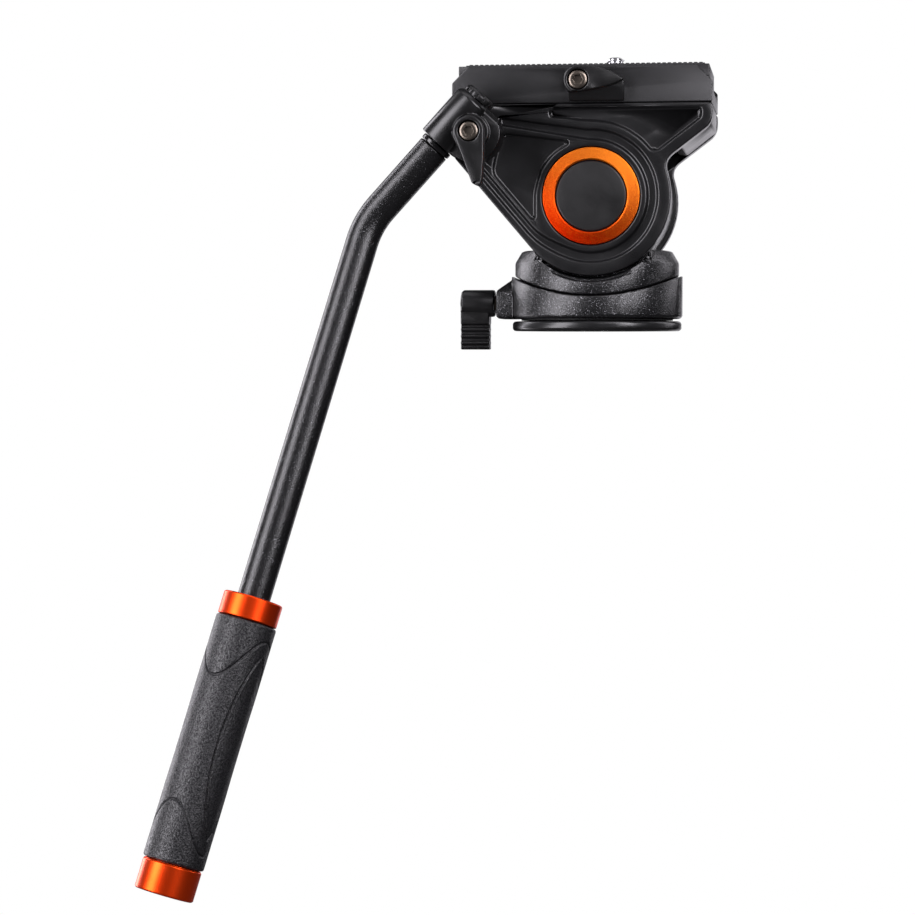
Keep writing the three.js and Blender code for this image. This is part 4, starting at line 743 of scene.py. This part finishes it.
# The camera screw's seat and tip stand this far over the cheeks.
SEAT_RISE, TIP_RISE = 5.3, 18.09
SCREW_SEAT = CHEEK_TOP + FIT + SEAT_RISE
SCREW_TIP = CHEEK_TOP + FIT + TIP_RISE
SCREW_HEAD_RADIUS, SCREW_HEAD_HEIGHT = 8, 2.2
THREAD_PITCH, THREAD_CORE, THREAD_CREST = 1.27, 2.6, 3.17
TIP_LENGTH, TIP_INWARDS = 0.5, 0.8
THREAD_START = 1.6 * THREAD_PITCH  # over the head
THREAD_END = 0.9  # below the tip
THREAD_SINK = 0.1
FOOT_SHARE, CREST_SHARE = 0.44, 0.07  # half widths of a thread, as shares of the pitch
THREAD_STEPS = 36


def screw_body(head):
    neck = head + THREAD_PITCH
    section = [
        (0, SCREW_SEAT), (SCREW_HEAD_RADIUS, SCREW_SEAT), (SCREW_HEAD_RADIUS, head), (THREAD_CREST, head),
        (THREAD_CREST, neck), (THREAD_CORE, neck + THREAD_PITCH / 2),
        (THREAD_CORE, SCREW_TIP - TIP_LENGTH), (THREAD_CORE - TIP_INWARDS, SCREW_TIP), (0, SCREW_TIP),
    ]
    return turned(section, SCREW_STEPS, Matrix.Identity(4))


def camera_screw():
    """The camera's screw: a head in the plate and a shank with a real thread."""
    head = SCREW_SEAT + SCREW_HEAD_HEIGHT
    bm = screw_body(head)
    start = head + THREAD_START
    turns = int((SCREW_TIP - THREAD_END - start) / THREAD_PITCH)
    foot, crest = THREAD_CORE - THREAD_SINK, THREAD_CREST
    profile = [(foot, -FOOT_SHARE), (crest, -CREST_SHARE), (crest, CREST_SHARE), (foot, FOOT_SHARE)]
    corners = [bm.verts.new((r * MM, 0, (start + share * THREAD_PITCH) * MM)) for r, share in profile]
    face = bm.faces.new(corners)
    climb = THREAD_PITCH * MM / THREAD_STEPS
    bmesh.ops.spin(bm, geom=[face, *corners, *face.edges], cent=(0, 0, 0), axis=(0, 0, 1),
                   dvec=(0, 0, climb), angle=FULL * turns, steps=THREAD_STEPS * turns)
    bmesh.ops.recalc_face_normals(bm, faces=bm.faces)
    bmesh.ops.translate(bm, vec=(joint_place("camera_screw_turn").x * MM, 0, 0), verts=bm.verts)
    screw = add_piece("camera_screw_thread", bm, bright_steel, "camera_screw")
    soften(screw, width=0.05, segments=1, angle=50)


# The head

def castings():
    casting("base_disc", base_paint, rounding=0.35, angle=25)
    casting("pan_housing", housing_paint, rounding=0.6)
    casting("pan_collar", housing_paint, rounding=0.5)
    casting("bridge", cheek_paint, rounding=0.6)
    casting("plate_receiver", plate_paint, rounding=0.4, angle=25)
    casting("quick_release_plate", plate_paint, rounding=0.25, segments=2)
    casting("plate_pad", pad_black, rounding=0.1, segments=2)
    casting("pan_lock_knob", knob_black, rounding=0.45)
    casting("handle_block", block_paint, rounding=0.4)
    casting("handle_end_nut", knob_black, rounding=0.2, segments=2)
    for name in ("handle_clamp", "plate_lock", "tilt_lock"):
        casting(name + "_lever", lever_black, rounding=0.45)


def lever_bolts():
    for name, piece, facing, height in (
            ("handle_clamp", "clamp_bolt_head", facing_near, LEVER_FACE),
            ("plate_lock", "plate_bolt_head", facing_near, PLATE_LEVER_FACE),
            ("tilt_lock", "tilt_bolt_head", facing_far, LEVER_FACE)):
        matrix = shift(joint_place(name + "_turn")) @ facing @ shift((0, 0, height))
        lever_bolt(piece, name + "_bolt", matrix)


def head():
    tilt_rings()
    cheeks()
    castings()
    lever_bolts()
    handle_tube()
    spigot()
    ferrule()
    end_cap()
    grip()
    camera_screw()


head()


# Studio

FLOOR_LEVEL, FLOOR_REACH = -0.46, 30
FLOOR_COLOR = (0.07, 0.07, 0.07, 1)
LAMP_COLOR = (0.97, 0.94, 1.0)
DIM_LIGHT = (0.035, 0.036, 0.038, 1)
WHITE = (1, 1, 1, 1)
STRIP_DISTANCE = 0.95


def camera_only(tree, seen, lit):
    """Shows one shader to the camera and lights the scene with the other."""
    path = tree.nodes.new("ShaderNodeLightPath")
    mix = tree.nodes.new("ShaderNodeMixShader")
    tree.links.new(path.outputs["Is Camera Ray"], mix.inputs["Fac"])
    tree.links.new(lit, mix.inputs[1])
    tree.links.new(seen, mix.inputs[2])
    return mix.outputs["Shader"]


def floor_finish():
    f = Finish("studio_floor_pale", Roughness=0.9)
    f.shader.inputs["Base Color"].default_value = FLOOR_COLOR
    pale = f.node("ShaderNodeEmission", {"Color": WHITE, "Strength": 1.0}).outputs["Emission"]
    shown = camera_only(f.material.node_tree, pale, f.shader.outputs["BSDF"])
    f.links.new(shown, f.nodes["Material Output"].inputs["Surface"])
    return f.material


def studio_floor():
    bm = bmesh.new()
    bmesh.ops.create_grid(bm, x_segments=1, y_segments=1, size=FLOOR_REACH)
    bmesh.ops.translate(bm, vec=(0, 0, FLOOR_LEVEL), verts=bm.verts)
    mesh = bpy.data.meshes.new("studio_floor")
    bm.to_mesh(mesh)
    bm.free()
    mesh.materials.append(floor_finish())
    floor = bpy.data.objects.new("studio_floor", mesh)
    bpy.context.scene.collection.objects.link(floor)


def pale_world():
    world = bpy.data.worlds.new("studio_world")
    bpy.context.scene.world = world
    world.use_nodes = True
    tree = world.node_tree
    tree.nodes.clear()
    seen = tree.nodes.new("ShaderNodeBackground")
    seen.inputs["Color"].default_value = WHITE
    lit = tree.nodes.new("ShaderNodeBackground")
    lit.inputs["Color"].default_value = DIM_LIGHT
    out = tree.nodes.new("ShaderNodeOutputWorld")
    shown = camera_only(tree, seen.outputs["Background"], lit.outputs["Background"])
    tree.links.new(shown, out.inputs["Surface"])


def softbox(name, at, target, width, height, radiance):
    light = bpy.data.lights.new(name, "AREA")
    light.shape = "RECTANGLE"
    light.size, light.size_y = width, height
    light.energy = math.pi * width * height * radiance
    light.color = LAMP_COLOR
    lamp = bpy.data.objects.new(name, light)
    lamp.location = at
    lamp.rotation_euler = (Vector(target) - Vector(at)).to_track_quat("-Z", "Y").to_euler()
    lamp.visible_camera = False
    bpy.context.scene.collection.objects.link(lamp)


def strip(name, azimuth, half_angle, radiance, height=1.3, level=0.12):
    """An upright softbox; its azimuth counts from the near side towards the head's front."""
    angle = math.radians(azimuth)
    at = (STRIP_DISTANCE * math.sin(angle), -STRIP_DISTANCE * math.cos(angle), level)
    width = 2 * STRIP_DISTANCE * math.tan(math.radians(half_angle))
    softbox(name, at, (0, 0, level), width, height, radiance)


def lamps():
    strip("left_strip", azimuth=-48, half_angle=13, radiance=9.0, level=0.28)
    strip("right_strip", azimuth=43, half_angle=10, radiance=12.5, height=0.8, level=0.43)
    strip("right_rim", azimuth=118, half_angle=9, radiance=4.0, height=0.8, level=0.42)
    strip("left_rim", azimuth=-120, half_angle=10, radiance=6.0)
    strip("back_strip", azimuth=169, half_angle=8, radiance=1.2)
    softbox("front_box", at=(0.3, -0.78, 0.5), target=(0, 0, 0.04),
            width=0.4, height=0.3, radiance=4.6)
    softbox("low_card", at=(-0.36, -0.84, -0.28), target=(-0.1, 0, -0.1),
            width=0.2, height=0.3, radiance=1.1)
    softbox("top_box", at=(0, -0.1, 1.0), target=(0, 0, 0),
            width=0.9, height=0.7, radiance=1.4)


CAMERA_PLACE = (0.07665, -0.97399, -0.0071)
CAMERA_TILT, CAMERA_TURN = math.radians(87.7709), math.radians(7.4166)
FOCAL_LENGTH, SENSOR_WIDTH = 107.64, 36  # in millimetres
FAR_LIMIT = 100


def camera():
    lens = bpy.data.cameras.new("camera")
    lens.sensor_fit = "HORIZONTAL"
    lens.sensor_width = SENSOR_WIDTH
    lens.lens = FOCAL_LENGTH
    lens.clip_end = FAR_LIMIT
    eye = bpy.data.objects.new("camera", lens)
    eye.location = CAMERA_PLACE
    eye.rotation_euler = (CAMERA_TILT, 0, CAMERA_TURN)
    bpy.context.scene.collection.objects.link(eye)
    bpy.context.scene.camera = eye


studio_floor()
pale_world()
lamps()
camera()
bpy.context.scene.view_settings.view_transform = "Standard"
